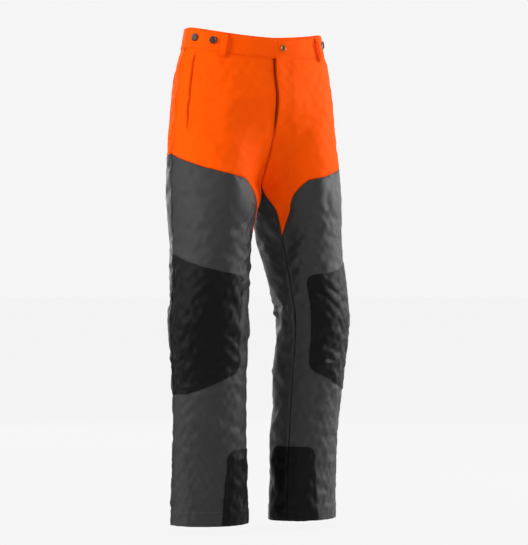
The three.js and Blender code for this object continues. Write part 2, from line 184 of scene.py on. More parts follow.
@dataclass(frozen=True)
class BodyForm:
    """The shape that the garment is draped on: a pelvis that divides into two legs."""

    pelvis: Stations = Stations((
        (0, 159, 104, 110),
        (-36, 165, 106, 114),
        (-72, 177, 110, 118),
        (-157, 190, 116, 127),
        (-286, 200, 123, 130),
        (-1070, 203, 122, 126),
    ))
    leg: Stations = Stations((
        (0, -101, -2, 101, 122, 0),
        (-334, -101, -3, 101, 120, 2),
        (-436, -111, -7, 89, 107, 4),
        (-480, -115, -12, 86, 99, 5),
        (-560, -123, -26, 85, 83, 8),
        (-640, -130, -34, 85, 73, 10),
        (-800, -122, -24, 81, 68, 11),
        (-950, -118, -16, 82, 63, 13),
        (-1070, -117, -14, 84, 61, 14),
    ))

    def _pelvis(self, round_: Array, depth: Array) -> tuple[Array, Array]:
        """The right half's place across and fore and aft, as one body."""
        width, front, back = self.pelvis.at(depth)
        angle = math.pi * round_
        reach = np.where(np.cos(angle) > 0, front, back)
        return -width * np.sin(angle) * MM, -reach * np.cos(angle) * MM

    def _leg(self, round_: Array, depth: Array) -> tuple[Array, Array]:
        """The right half's place across and fore and aft, as a leg."""
        x, y, width, length, turn = self.leg.at(depth)
        front = lerp(INSEAM_ANGLE, math.pi, round_ * 2)
        back = lerp(math.pi, 2 * math.pi + INSEAM_ANGLE, round_ * 2 - 1)
        angle = np.where(round_ < 0.5, front, back)
        across, ahead = width * np.cos(angle), length * np.sin(angle)
        c, s = np.cos(np.radians(turn)), np.sin(np.radians(turn))
        return (x + across * c - ahead * s) * MM, (y - across * s - ahead * c) * MM

    def _seam(self, is_front: Array, depth: Array) -> tuple[Array, Array]:
        """The centre seam above the crotch, and the inseam below it."""
        t = np.clip((RISE_TOP - depth) / (RISE_TOP - CROTCH), 0, 1)
        _, front, back = self.pelvis.at(depth)
        rise = np.where(
            is_front,
            lerp(-front * MM, CROTCH_Y, t**FRONT_RISE_POWER),
            lerp(back * MM, CROTCH_Y, t**BACK_RISE_POWER),
        )
        below = smooth((CROTCH - depth) / (CROTCH - SPLIT_BOTTOM))
        x, y = self._leg(np.zeros_like(depth), depth)
        return lerp(0.0, x, below), lerp(rise, y, below)

    def points(self, round_: Array, depth: Array) -> Array:
        """Points of the right half.

        Args:
            round_: places round the half, from 0 to 1.
            depth: depths, of the same shape.
        Returns:
            The points, with three numbers along the last axis.
        """
        split = smooth((SPLIT_TOP - depth) / (SPLIT_TOP - SPLIT_BOTTOM))
        is_front = round_ < 0.5
        end = np.where(is_front, 0.0, 1.0)
        pull = 1 - smooth(np.abs(round_ - end) / RISE_REACH)
        blended = []
        for r in (round_, end):
            p, q = self._pelvis(r, depth), self._leg(r, depth)
            blended.append([lerp(p[k], q[k], split) for k in (0, 1)])
        seam = self._seam(is_front, depth)
        x, y = (blended[0][k] + pull * (seam[k] - blended[1][k]) for k in (0, 1))
        return np.stack([np.minimum(x, 0.0), y, depth], axis=-1)


def rim_depth(round_: Array) -> Array:
    """The waist rim, which dips at the centre front."""
    return -FRONT_DIP * np.maximum(0.0, np.cos(math.pi * np.asarray(round_))) ** 1.5


def band_depth(round_: Array) -> Array:
    """The lower edge of the waistband."""
    return rim_depth(round_) - BAND_HEIGHT


def colour_depth(round_: Array) -> Array:
    """Where the orange fabric ends and the grey begins: a slant on the thigh and a pointed tongue inside."""
    r = np.asarray(round_, float)
    share = np.clip((r - SLANT_START) / (0.5 - SLANT_START), 0, 1)
    slant = lerp(COLOUR_FRONT, COLOUR_SIDE, share**SLANT_POWER)
    tongue = -TONGUE_LENGTH * np.clip((TONGUE_REACH - r) / TONGUE_REACH, 0, 1) ** TONGUE_POWER
    back = lerp(COLOUR_SIDE, COLOUR_BACK, smooth((r - 0.5) * 2))
    return np.where(r < 0.5, slant + tongue, back)


# ---- Cloth --------------------------------------------------------------------------------


def grid_mesh(name: str, points: Array, flip: bool) -> tuple[bpy.types.Mesh, Array]:
    """A mesh of quads through a grid of points.

    Args:
        name: the mesh's name.
        points: rows from the top down, columns round the garment, three numbers each.
        flip: turns the faces over, for a mirrored grid.
    Returns:
        The mesh, and the place in the grid, counted row by row, of each of its vertices.
    """
    rows, columns = points.shape[:2]
    bm = bmesh.new()
    bmesh.ops.create_grid(bm, x_segments=columns - 1, y_segments=rows - 1, size=1.0)
    if flip:
        bmesh.ops.reverse_faces(bm, faces=bm.faces)
    mesh = as_mesh(bm, name)
    flat = np.zeros(len(mesh.vertices) * 3)
    mesh.vertices.foreach_get("co", flat)
    flat = flat.reshape(-1, 3)
    column = np.rint((flat[:, 0] + 1) / 2 * (columns - 1)).astype(int)
    row = np.rint((flat[:, 1] + 1) / 2 * (rows - 1)).astype(int)
    mesh.vertices.foreach_set("co", points[row, column].ravel())
    mesh.update()
    return mesh, row * columns + column


@dataclass
class Drape:
    """Lets the fabric between the seams go slack, so that it buckles as worn cloth does."""

    frames: int = 20
    slack: float = 0.017
    jitter: float = 0.0004
    seed: int = 7

    def run(self, points: Array, hold: Array, spare: Array, flip: bool) -> Array:
        """Runs Blender's cloth on one half of the garment.

        Args:
            points: the form's grid of points.
            hold: how firmly each point keeps its place, from 0 to 1.
            spare: the share of the slack that each point gets.
            flip: whether the half is the mirrored one.
        Returns:
            The draped grid, of the same shape.
        """
        rows, columns = points.shape[:2]
        rng = np.random.default_rng(self.seed + int(flip))
        start = points + rng.normal(0, self.jitter, points.shape) * (1 - hold[..., None])
        mesh, order = grid_mesh("drape", start, flip)
        fabric = as_object("drape", mesh)
        for group_name, weights in (("hold", hold), ("tight", 1 - spare)):
            group = fabric.vertex_groups.new(name=group_name)
            for index, weight in enumerate(weights.reshape(-1)[order]):
                group.add([index], float(weight), "REPLACE")
        self._set_up(fabric)
        scene = bpy.context.scene
        for step in range(1, self.frames + 1):
            scene.frame_set(step)
        draped = fabric.evaluated_get(bpy.context.evaluated_depsgraph_get())
        flat = np.zeros(len(mesh.vertices) * 3)
        draped.data.vertices.foreach_get("co", flat)
        result = np.empty((rows * columns, 3))
        result[order] = flat.reshape(-1, 3)
        scene.frame_set(1)
        bpy.data.objects.remove(fabric)
        bpy.data.meshes.remove(mesh)
        return result.reshape(rows, columns, 3)

    def _set_up(self, fabric: bpy.types.Object) -> None:
        """Adds the cloth modifier with the fabric's stiffness."""
        modifier = fabric.modifiers.new("cloth", "CLOTH")
        modifier.point_cache.frame_end = self.frames
        modifier.collision_settings.use_collision = False
        settings = modifier.settings
        settings.quality = 5
        settings.mass = 0.25
        settings.tension_stiffness = 25
        settings.compression_stiffness = 12
        settings.shear_stiffness = 8
        settings.bending_stiffness = 1.5
        settings.air_damping = 1
        settings.effector_weights.gravity = 0.0
        settings.vertex_group_mass = "hold"
        settings.pin_stiffness = 0.9
        settings.vertex_group_shrink = "tight"
        settings.shrink_min = -self.slack
        settings.shrink_max = 0.0


def refined(grid: Array) -> Array:
    """Puts a row between every two rows, on a smooth curve through them.

    Args:
        grid: values with rows along the first axis.
    Returns:
        Nearly twice as many rows.
    """
    padded = np.concatenate([[2 * grid[0] - grid[1]], grid, [2 * grid[-1] - grid[-2]]])
    middle = (9 * (padded[1:-2] + padded[2:-1]) - padded[:-3] - padded[3:]) / 16
    out = np.empty((2 * len(grid) - 1, *grid.shape[1:]))
    out[0::2], out[1::2] = grid, middle
    return out


def fly_edge(depth: Array) -> Array:
    """How far the fly's folded edge lies past the centre, as a share of round."""
    return 0.012 * smooth((np.asarray(depth) - FLY_BOTTOM) / 0.15)


@dataclass(frozen=True)
class CreaseZone:
    """A patch of the garment where worn cloth keeps creases of one kind.

    Places are ranges of round and depth; the slant is the crease's angle to the horizontal in degrees,
    and the length, width and height are in metres.
    """

    rounds: tuple[float, float]
    depths: tuple[float, float]
    count: int
    slant: tuple[float, float]
    length: tuple[float, float]
    width: tuple[float, float]
    height: tuple[float, float]
    sides: tuple[Side, ...] = (Side.RIGHT, Side.LEFT)


CREASES = (
    CreaseZone((0.40, 0.495), (-0.52, -0.80), 15, (-20, 20), (0.025, 0.060), (0.0030, 0.0050), (0.0014, 0.0030)),
    CreaseZone((0.505, 0.60), (-0.45, -0.86), 16, (-25, 25), (0.025, 0.060), (0.0035, 0.006), (0.0008, 0.002)),
    CreaseZone((0.12, 0.46), (-0.715, -0.785), 10, (-14, 8), (0.060, 0.120), (0.0040, 0.0060), (0.0016, 0.0030)),
    CreaseZone((0.12, 0.42), (-0.54, -0.72), 9, (-12, 12), (0.040, 0.110), (0.006, 0.010), (0.0010, 0.0020)),
    CreaseZone((0.62, 0.96), (-0.55, -0.77), 16, (-18, 18), (0.060, 0.140), (0.005, 0.009), (0.0020, 0.0040)),
    CreaseZone((0.01, 0.10), (-0.46, -0.63), 8, (28, 48), (0.045, 0.085), (0.0032, 0.0050), (0.0018, 0.0030),
               (Side.LEFT,)),
    CreaseZone((0.01, 0.10), (-0.46, -0.66), 5, (20, 50), (0.035, 0.070), (0.0035, 0.0055), (0.0014, 0.0024),
               (Side.RIGHT,)),
    CreaseZone((0.90, 0.99), (-0.42, -0.66), 9, (-50, -20), (0.035, 0.080), (0.0035, 0.006), (0.0014, 0.0030)),
    CreaseZone((0.10, 0.36), (-0.12, -0.30), 6, (60, 115), (0.080, 0.150), (0.009, 0.015), (0.0012, 0.0026)),
    CreaseZone((0.05, 0.95), (-0.79, -1.00), 14, (65, 115), (0.070, 0.180), (0.009, 0.015), (0.0014, 0.0032)),
    CreaseZone((0.05, 0.95), (-0.93, -1.05), 10, (-30, 30), (0.040, 0.090), (0.005, 0.009), (0.0010, 0.0022)),
    CreaseZone((0.62, 0.97), (-0.31, -0.46), 9, (-35, 10), (0.060, 0.120), (0.006, 0.011), (0.0016, 0.0034)),
    CreaseZone((0.425, 0.495), (-0.06, -0.26), 15, (-25, 25), (0.014, 0.028), (0.0025, 0.0040), (0.0008, 0.0018)),
    CreaseZone((0.505, 0.56), (-0.05, -0.30), 12, (-30, 30), (0.016, 0.035), (0.0028, 0.0045), (0.0010, 0.0022)),
    CreaseZone((0.10, 0.48), (-0.32, -0.49), 8, (-30, 100), (0.060, 0.120), (0.009, 0.014), (0.0010, 0.0020)),
)


@dataclass
class Creases:
    """Ridges and hollows laid over one half along short lines, from a seeded draw in each zone."""

    side: Side
    seed: int = 23
    lines: list[tuple[float, ...]] = field(default_factory=list)

    RIDGE, HOLLOW, RIDGE_SHARE = 0.75, -0.6, 0.72

    def draw(self) -> None:
        """Draws every zone's creases."""
        rng = np.random.default_rng(self.seed + (self.side is Side.LEFT))
        for zone in CREASES:
            if self.side not in zone.sides:
                continue
            for _ in range(zone.count):
                ranges = (zone.rounds, zone.depths, zone.slant, zone.length, zone.width, zone.height)
                r, d, slant, length, width, height = (lerp(*ends, rng.random()) for ends in ranges)
                height *= self.RIDGE if rng.random() < self.RIDGE_SHARE else self.HOLLOW
                self.lines.append((r, d, math.radians(slant), length, width, height, rng.random() * 0.5 - 0.25))

    def height(self, r: Array, d: Array, length: Array) -> Array:
        """The creases' height over the cloth.

        Args:
            r: places round the half.
            d: depths.
            length: the way round the half at each depth.
        Returns:
            The heights, in metres.
        """
        total = np.zeros_like(r)
        for r0, d0, slant, run, width, rise, bow in self.lines:
            across, up = (r - r0) * length, d - d0
            along = (across * math.cos(slant) + up * math.sin(slant)) / (run / 2)
            off = up * math.cos(slant) - across * math.sin(slant) + bow * run * (along**2 - 0.3)
            fade = np.exp(-(along**4)) * np.clip(1.35 - np.abs(along), 0, 1)
            total += rise * fade * bell(off, width)
        return total


@dataclass
class HalfGarment:
    """One draped half: the surface that every piece on that side is cut from."""

    side: Side
    form: BodyForm
    columns: int = 48
    rows: int = 76
    points: Array = field(init=False)
    normals: Array = field(init=False)
    creases: Creases = field(init=False)

    def build(self, drape: Drape) -> None:
        """Makes the form's grid and drapes it.

        Args:
            drape: the cloth settings.
        """
        self.creases = Creases(self.side)
        self.creases.draw()
        r, d = np.meshgrid(np.linspace(0, 1, self.columns + 1), np.linspace(0, HEM, self.rows + 1))
        points = self.form.points(r, d)
        points[..., 0] *= -self.side.sign
        points = drape.run(points, self._hold(r, d), self._spare(r, d), self.side is Side.LEFT)
        for _ in range(2):
            points = refined(refined(points).transpose(1, 0, 2)).transpose(1, 0, 2)
        self.points = points
        across, down = np.gradient(self.points, axis=1), np.gradient(self.points, axis=0)
        out = np.cross(across, down) * -self.side.sign
        self.normals = out / np.maximum(np.linalg.norm(out, axis=-1, keepdims=True), 1e-12)

    @staticmethod
    def _hold(r: Array, d: Array) -> Array:
        """How firmly the seams, the waist and the hem keep their place."""
        on_centre = np.where(np.minimum(r, 1 - r) < 0.004, 1.0, 0.0)
        on_side = 0.75 * bell(r - 0.5, 0.012)
        waist = 1 - smooth((-d - 0.055) / 0.05)
        hem = 0.62 * smooth((-d - 1.045) / 0.02)
        padded = 0.28 * smooth((r - 0.05) / 0.06) * smooth((0.49 - r) / 0.04)
        return np.clip(np.maximum.reduce([on_centre, on_side, waist, hem, 0.14 + padded]), 0, 1)

    @staticmethod
    def _spare(r: Array, d: Array) -> Array:
        """Where the cloth is slackest: behind the knee, at the groin and along the seams."""
        depth = -d
        knee = bell(depth - 0.66, 0.10) * (0.45 + 0.55 * smooth((r - 0.45) / 0.2))
        inner = bell(np.minimum(r, 1 - r), 0.16) * bell(depth - 0.52, 0.10)
        ankle = 0.60 * bell(depth - 0.98, 0.09)
        seat = 0.45 * bell(depth - 0.36, 0.06) * smooth((r - 0.55) / 0.15)
        sides = 0.5 * bell(r - 0.52, 0.03)
        return np.clip(0.22 + np.maximum.reduce([knee, inner, ankle, seat, sides]), 0, 1)

    def ring_length(self, depth: Array) -> Array:
        """The way round the half at a depth.

        Args:
            depth: depths, in metres.
        Returns:
            The lengths, in metres.
        """
        width, front, _ = self.form.pelvis.at(depth)
        _, _, across, ahead, _ = self.form.leg.at(depth)
        pelvis = math.pi * np.sqrt((width**2 + front**2) / 2)
        leg = 2 * math.pi * np.sqrt((across**2 + ahead**2) / 2)
        split = smooth((SPLIT_TOP - depth) / (SPLIT_TOP - SPLIT_BOTTOM))
        return lerp(pelvis, leg, split) * MM

    def relief(self, r: Array, d: Array) -> Array:
        """The seams' grooves and puckers, the creases and the hem's fold, as heights over the cloth.

        Args:
            r: places round the half.
            d: depths.
        Returns:
            The heights, in metres.
        """
        length = self.ring_length(d)
        side, inner = (r - 0.5) * length, np.minimum(r, 1 - r) * length
        wave = 0.55 * np.sin(d / 0.0026 + 2.0 * np.sin(d / 0.019)) + 0.45 * np.sin(d / 0.0071 + 1.3)
        below_band = smooth((-d - 0.046) / 0.012)
        groove = -0.0040 * bell(side, 0.0024)
        lap = 0.0022 * smooth((side + 0.015) / 0.006) * smooth((-0.0008 - side) / 0.0012)
        pucker = 0.0008 * wave * np.exp(-np.abs(side) / 0.010)
        in_groove = -0.0015 * bell(inner, 0.0014)
        in_lap = 0.0009 * bell(inner - 0.005, 0.0030)
        in_pucker = 0.0004 * wave * np.exp(-inner / 0.010) * smooth(inner / 0.003)
        boundary = d - colour_depth(r)
        colour = -0.0011 * bell(boundary, 0.0016) + 0.0008 * bell(boundary - 0.005, 0.0035)
        mouth = (r - POCKET_ROUND) * length
        open_part = smooth((-d - 0.054) / 0.012) * smooth((0.226 + d) / 0.012)
        pocket = open_part * (
            -0.0034 * bell(mouth + 0.001, 0.0020)
            + 0.0016 * smooth((mouth - 0.0005) / 0.002) * smooth((0.020 - mouth) / 0.014)
        )
        if self.side is Side.RIGHT:
            window = smooth((-d - 0.062) / 0.008) * smooth((d - FLY_BOTTOM + 0.01) / 0.06) * (r < 0.5)
            slit = inner - fly_edge(d) * length - 0.0022
            pocket = pocket - 0.0045 * window * bell(slit, 0.0026)
        hem_fold = 0.0011 * smooth((-d - 1.0375) / 0.002)
        seams = groove + lap + pucker + in_groove + in_lap + in_pucker + pocket
        return below_band * (seams + self.creases.height(r, d, length)) + colour + hem_fold

    def shade(self, r: Array, d: Array) -> Array:
        """Painted shade: how much the cloth's colour is darkened in its seams, the pocket's mouth and the fly's
        slit, where shadow falls in them.

        Args:
            r: places round the half.
            d: depths.
        Returns:
            Shares from 0 to 1.
        """
        length = self.ring_length(d)
        side, inner = (r - 0.5) * length, np.minimum(r, 1 - r) * length
        # Every layer here is painted shade: the side seam's shadow, unevenly strong along it, and the shadows in
        # the inseam, the colour seam, the pocket's mouth and, on the right, the fly's slit.
        rough = 0.92 + 0.08 * np.sin(d / 0.0031 + 2.0 * np.sin(d / 0.017))
        ahead = lerp(0.0034, 0.0092, smooth((colour_depth(r) - d) / 0.012))
        seam = rough * np.exp(-((side / np.where(side > 0, 0.0034, ahead)) ** 4))
        inseam = 0.5 * bell(inner, 0.0014)
        colour = 0.45 * bell(d - colour_depth(r), 0.0015)
        mouth = 0.5 * bell((r - POCKET_ROUND) * length + 0.001, 0.0016)
        mouth = mouth * smooth((-d - 0.056) / 0.01) * smooth((0.224 + d) / 0.01)
        layers = [seam, inseam, colour, mouth]
        if self.side is Side.RIGHT:
            slit = bell(inner - fly_edge(d) * length - 0.0020, 0.0025) * (r < 0.5)
            layers.append(slit * smooth((-d - 0.062) / 0.006) * smooth((d - FLY_BOTTOM + 0.02) / 0.04))
        return np.clip(np.maximum.reduce(layers), 0, 1)

    def sample(self, r: Array, d: Array, offset: Array, plain: bool = False) -> tuple[Array, Array]:
        """Points off the draped cloth, and the way out of it.

        Args:
            r: places round the half, from 0 to 1.
            d: depths, of the same shape.
            offset: distances off the cloth, outwards.
            plain: leaves the relief out.
        Returns:
            The points and the normals.
        """
        rows, columns = self.points.shape[:2]
        i = np.clip(r * (columns - 1), 0, columns - 1.000001)
        j = np.clip(d / HEM * (rows - 1), 0, rows - 1.000001)
        i0, j0 = i.astype(int), j.astype(int)
        u, v = (i - i0)[..., None], (j - j0)[..., None]
        mixed = []
        for grid in (self.points, self.normals):
            top = lerp(grid[j0, i0], grid[j0, i0 + 1], u)
            low = lerp(grid[j0 + 1, i0], grid[j0 + 1, i0 + 1], u)
            mixed.append(lerp(top, low, v))
        out = mixed[1] / np.linalg.norm(mixed[1], axis=-1, keepdims=True)
        height = offset + (0.0 if plain else self.relief(r, d))
        point = mixed[0] + out * np.asarray(height)[..., None]
        return point, out


@dataclass
class Garment:
    """Both draped halves."""

    form: BodyForm = field(default_factory=BodyForm)
    halves: dict[Side, HalfGarment] = field(default_factory=dict)

    def build(self) -> None:
        """Drapes the right half and then the left."""
        for side in Side:
            half = HalfGarment(side, self.form)
            half.build(Drape())
            self.halves[side] = half
            LOG.info("draped the %s half", side.value)

    def sample(
        self, side: Side, round_: Array, depth: Array, offset: Array, plain: bool = False
    ) -> tuple[Array, Array]:
        """Points off the cloth, where a place past the centre seam is on the other half.

        Args:
            side: the side that round counts from.
            round_: places round the half; below 0 and above 1 they pass the centre seam or the inseam.
            depth: depths, of the same shape.
            offset: distances off the cloth, outwards.
            plain: leaves the relief out.
        Returns:
            The points and the normals.
        """
        r, d = np.broadcast_arrays(np.asarray(round_, float), np.asarray(depth, float))
        o = np.broadcast_to(np.asarray(offset, float), r.shape)
        past = (r < 0) | (r > 1)
        crossed = past & (d > CROTCH)
        wrapped = np.where(past & ~crossed, r % 1.0, r)
        folded = np.where(r < 0, -r, 2 - r)
        own = self.halves[side].sample(np.where(crossed, 0.5, wrapped), d, o, plain)
        across = self.halves[side.other].sample(np.where(crossed, folded, 0.5), d, o, plain)
        pick = crossed[..., None]
        return np.where(pick, across[0], own[0]), np.where(pick, across[1], own[1])


# ---- Materials ----------------------------------------------------------------------------


class NodeSheet:
    """Adds nodes to a tree by type, with their values and links."""

    def __init__(self, tree: bpy.types.NodeTree) -> None:
        """Keeps the tree.

        Args:
            tree: the node tree to add to.
        """
        self.tree = tree

    def add(self, kind: str, settings: dict | None = None, **inputs: object) -> bpy.types.Node:
        """Adds a node.

        Args:
            kind: the node's type name, without "ShaderNode".
            settings: attributes of the node.
            **inputs: values or sockets by input name, spaces as underscores; _0, _1 by number.
        Returns:
            The node.
        """
        name = kind if kind.startswith("Node") else f"ShaderNode{kind}"
        node = self.tree.nodes.new(name)
        for key, value in (settings or {}).items():
            setattr(node, key, value)
        for key, value in inputs.items():
            socket = node.inputs[int(key[1:])] if key.startswith("_") else node.inputs[key.replace("_", " ")]
            if isinstance(value, bpy.types.NodeSocket):
                self.tree.links.new(value, socket)
            else:
                socket.default_value = value
        return node

    def math(self, operation: str, a: object, b: object, c: float = 0.5) -> bpy.types.NodeSocket:
        """A Math node's result.

        Args:
            operation: the operation's name.
            a: the first value or socket.
            b: the second one.
            c: the third value, for operations that have one.
        Returns:
            The output socket.
        """
        return self.add("Math", {"operation": operation}, _0=a, _1=b, _2=c).outputs[0]

    def mix(self, share: object, a: object, b: object) -> bpy.types.NodeSocket:
        """A colour mixed from two.

        Args:
            share: how much of the second colour, a value or socket.
            a: the first colour.
            b: the second one.
        Returns:
            The output socket.
        """
        node = self.add("Mix", {"data_type": "RGBA"}, _0=share, _6=a, _7=b)
        return node.outputs[2]


def new_group(name: str, inputs: dict[str, float], outputs: list[str]) -> tuple[bpy.types.NodeTree, NodeSheet]:
    """A shader node group with float inputs and outputs and its input and output nodes.

    Args:
        name: the group's name.
        inputs: input names with their default values.
        outputs: output names.
    Returns:
        The tree, and a sheet to add nodes with.
    """
    tree = bpy.data.node_groups.new(name, "ShaderNodeTree")
    for socket_name, value in inputs.items():
        socket = tree.interface.new_socket(socket_name, in_out="INPUT", socket_type="NodeSocketFloat")
        socket.default_value = value
    for socket_name in outputs:
        tree.interface.new_socket(socket_name, in_out="OUTPUT", socket_type="NodeSocketFloat")
    return tree, NodeSheet(tree)


def weave_group() -> bpy.types.NodeTree:
    """Threads over and under each other, on the piece's own UV map, which is in metres."""
    tree, sheet = new_group("Weave", {"Threads per metre": 1100.0, "Unevenness": 0.35}, ["Height", "Thread"])
    given = sheet.add("NodeGroupInput").outputs
    uv = sheet.add("UVMap", {"uv_map": "UVMap"}).outputs[0]
    drift = sheet.add("TexNoise", Vector=uv, Scale=90.0, Detail=2.0)
    parts = sheet.add("SeparateXYZ", _0=uv).outputs
    turns = sheet.math("MULTIPLY", given[0], 2 * math.pi)
    sway = sheet.math("MULTIPLY", drift.outputs[0], sheet.math("MULTIPLY", given[1], 9.0))
    waves = []
    for part in parts[:2]:
        phase = sheet.math("ADD", sheet.math("MULTIPLY", part, turns), sway)
        waves.append(sheet.math("SINE", phase, 0.0))
    over = sheet.math("MULTIPLY", waves[0], waves[1])
    height = sheet.math("MULTIPLY_ADD", over, 0.5, 0.5)
    thread = sheet.add("TexNoise", Vector=uv, Scale=1400.0, Detail=1.0).outputs[0]
    sheet.add("NodeGroupOutput", _0=height, _1=thread)
    return tree


def mottle_group() -> bpy.types.NodeTree:
    """Slow and quick changes of tone over a piece, and the creases that catch the light."""
    tree, sheet = new_group("Mottle", {"Slow size": 6.0, "Quick size": 70.0}, ["Slow", "Quick", "Crumple"])
    given = sheet.add("NodeGroupInput").outputs
    place = sheet.add("TexCoord").outputs["Object"]
    slow = sheet.add("TexNoise", Vector=place, Scale=given[0], Detail=3.0, Roughness=0.55)
    quick = sheet.add("TexNoise", Vector=place, Scale=given[1], Detail=4.0, Roughness=0.6)
    crumple = sheet.add("TexNoise", Vector=place, Scale=38.0, Detail=5.0, Roughness=0.5, Distortion=0.6)
    sheet.add("NodeGroupOutput", _0=slow.outputs[0], _1=quick.outputs[0], _2=crumple.outputs[0])
    return tree


def new_material(name: str) -> tuple[bpy.types.Material, NodeSheet]:
    """Makes an empty material.

    Args:
        name: the material's name.
    Returns:
        The material, and a sheet to add nodes with.
    """
    material = bpy.data.materials.new(name)
    material.use_nodes = True
    material.node_tree.nodes.clear()
    return material, NodeSheet(material.node_tree)


@dataclass(frozen=True)
class FabricFinish:
    """A woven fabric's colours, weave and surface."""

    name: str
    colour: tuple[float, float, float]
    shade: tuple[float, float, float]
    roughness: float = 0.86
    sheen: float = 0.25
    threads: float = 1100.0
    weave_depth: float = 0.00022
    crumple_depth: float = 0.0006
    tone: float = 0.5
    gloss: float = 0.22

    QUICK_SHARE, WEAVE_SHARE, TONE_START = 0.35, 0.5, 0.15
    # Painted seam shadow: the share of the shade tone that the seams darken to, and how strongly.
    SEAM_COLOUR, SEAM_STRENGTH = 0.16, 0.95
    ROUGHNESS_SPREAD = 0.16
    FOLD_STRENGTH, WEAVE_STRENGTH = 0.55, 0.6
    SHEEN_ROUGHNESS = 0.45

    def make(self, weave: bpy.types.NodeTree, mottle: bpy.types.NodeTree) -> bpy.types.Material:
        """Builds the material.

        Args:
            weave: the Weave group.
            mottle: the Mottle group.
        Returns:
            The material.
        """
        material, sheet = new_material(self.name)
        threads = sheet.add("Group", {"node_tree": weave})
        threads.inputs[0].default_value = self.threads
        cloud = sheet.add("Group", {"node_tree": mottle})
        slow = sheet.math("MULTIPLY", cloud.outputs[0], self.tone)
        quick = sheet.math("MULTIPLY", cloud.outputs[1], self.QUICK_SHARE * self.tone)
        weave_shade = sheet.math("MULTIPLY", threads.outputs[1], self.WEAVE_SHARE * self.tone)
        share = sheet.math("ADD", slow, sheet.math("ADD", quick, weave_shade))
        woven = sheet.mix(sheet.math("SUBTRACT", share, self.TONE_START), (*self.colour, 1), (*self.shade, 1))
        # Painted shade: the seam_shade attribute takes the colour towards the seam shadow's dark colour and lowers
        # the specular level in the seams.
        seam = sheet.add("Attribute", {"attribute_name": "seam_shade"}).outputs["Fac"]
        shadow_colour = tuple(self.SEAM_COLOUR * c for c in self.shade)
        base = sheet.mix(sheet.math("MULTIPLY", seam, self.SEAM_STRENGTH), woven, (*shadow_colour, 1))
        glint = sheet.math("MULTIPLY_ADD", seam, -self.gloss, self.gloss)
        spread = self.ROUGHNESS_SPREAD
        rough = sheet.math("MULTIPLY_ADD", cloud.outputs[1], spread, self.roughness - spread / 2)
        fold = sheet.add(
            "Bump", Strength=self.FOLD_STRENGTH, Distance=self.crumple_depth, Height=cloud.outputs[2]
        )
        bump = sheet.add(
            "Bump", Strength=self.WEAVE_STRENGTH, Distance=self.weave_depth, Height=threads.outputs[0],
            Normal=fold.outputs[0],
        )
        shader = sheet.add(
            "BsdfPrincipled", Base_Color=base, Roughness=rough, Normal=bump.outputs[0], Specular_IOR_Level=glint
        )
        shader.inputs["Sheen Weight"].default_value = self.sheen
        shader.inputs["Sheen Roughness"].default_value = self.SHEEN_ROUGHNESS
        shader.inputs["Sheen Tint"].default_value = (*[min(1.0, c * 1.3 + 0.02) for c in self.colour], 1)
        sheet.add("OutputMaterial", _0=shader.outputs[0])
        return material


@dataclass(frozen=True)
class HardFinish:
    """A metal or plastic fitting's finish, rubbed lighter in places."""

    name: str
    colour: tuple[float, float, float]
    worn: tuple[float, float, float]
    metallic: float
    roughness: float

    def make(self, mottle: bpy.types.NodeTree) -> bpy.types.Material:
        """Builds the material.

        Args:
            mottle: the Mottle group.
        Returns:
            The material.
        """
        material, sheet = new_material(self.name)
        cloud = sheet.add("Group", {"node_tree": mottle})
        cloud.inputs[0].default_value = 240.0
        cloud.inputs[1].default_value = 900.0
        base = sheet.mix(cloud.outputs[0], (*self.colour, 1), (*self.worn, 1))
        rough = sheet.math("MULTIPLY_ADD", cloud.outputs[1], 0.2, self.roughness - 0.1)
        bump = sheet.add("Bump", Strength=0.25, Distance=0.0001, Height=cloud.outputs[1])
        shader = sheet.add("BsdfPrincipled", Base_Color=base, Roughness=rough, Normal=bump.outputs[0])
        shader.inputs["Metallic"].default_value = self.metallic
        sheet.add("OutputMaterial", _0=shader.outputs[0])
        return material


class Finish(Enum):
    """The finishes of the trousers."""

    ORANGE = FabricFinish(
        "orange_fabric", (0.97, 0.096, 0.0003), (0.78, 0.062, 0.0002),
        roughness=0.70, sheen=0.0, tone=0.6, gloss=0.03,
    )
    GREY = FabricFinish(
        "grey_fabric", (0.029, 0.029, 0.030), (0.015, 0.015, 0.016),
        roughness=0.48, sheen=0.01, tone=0.7, gloss=0.27,
    )
    PATCH = FabricFinish(
        "black_patch", (0.0019, 0.0019, 0.0022), (0.0009, 0.0009, 0.0011),
        roughness=0.40, sheen=0.0, threads=760.0, weave_depth=0.00025, gloss=0.11,
    )
    PAD = FabricFinish("guard_fibre", (0.72, 0.70, 0.63), (0.55, 0.53, 0.47), threads=420.0, weave_depth=0.0006)
    LINING = FabricFinish("lining", (0.035, 0.036, 0.040), (0.02, 0.02, 0.024), sheen=0.05)
    ORANGE_THREAD = FabricFinish("orange_thread", (0.80, 0.062, 0.001), (0.6, 0.04, 0.001), threads=2600.0)
    GREY_THREAD = FabricFinish("grey_thread", (0.10, 0.10, 0.10), (0.06, 0.06, 0.062), threads=2600.0)
    BLACK_THREAD = FabricFinish("black_thread", (0.012, 0.012, 0.013), (0.007, 0.007, 0.008), threads=2600.0)
    BUTTON = HardFinish("brown_button", (0.022, 0.009, 0.007), (0.045, 0.019, 0.013), 0.2, 0.42)
    BRASS = HardFinish("antique_brass", (0.36, 0.17, 0.055), (0.17, 0.075, 0.028), 0.95, 0.36)


@dataclass
class Wardrobe:
    """Makes each finish once."""

    made: dict[Finish, bpy.types.Material] = field(default_factory=dict)
    groups: dict[str, bpy.types.NodeTree] = field(default_factory=dict)

    def material(self, finish: Finish) -> bpy.types.Material:
        """The finish's material.

        Args:
            finish: which finish.
        Returns:
            The material, the same one each time.
        """
        if not self.groups:
            self.groups = {"weave": weave_group(), "mottle": mottle_group()}
        if finish not in self.made:
            value = finish.value
            weave, mottle = self.groups["weave"], self.groups["mottle"]
            is_fabric = isinstance(value, FabricFinish)
            self.made[finish] = value.make(weave, mottle) if is_fabric else value.make(mottle)
        return self.made[finish]


# ---- Pieces -------------------------------------------------------------------------------


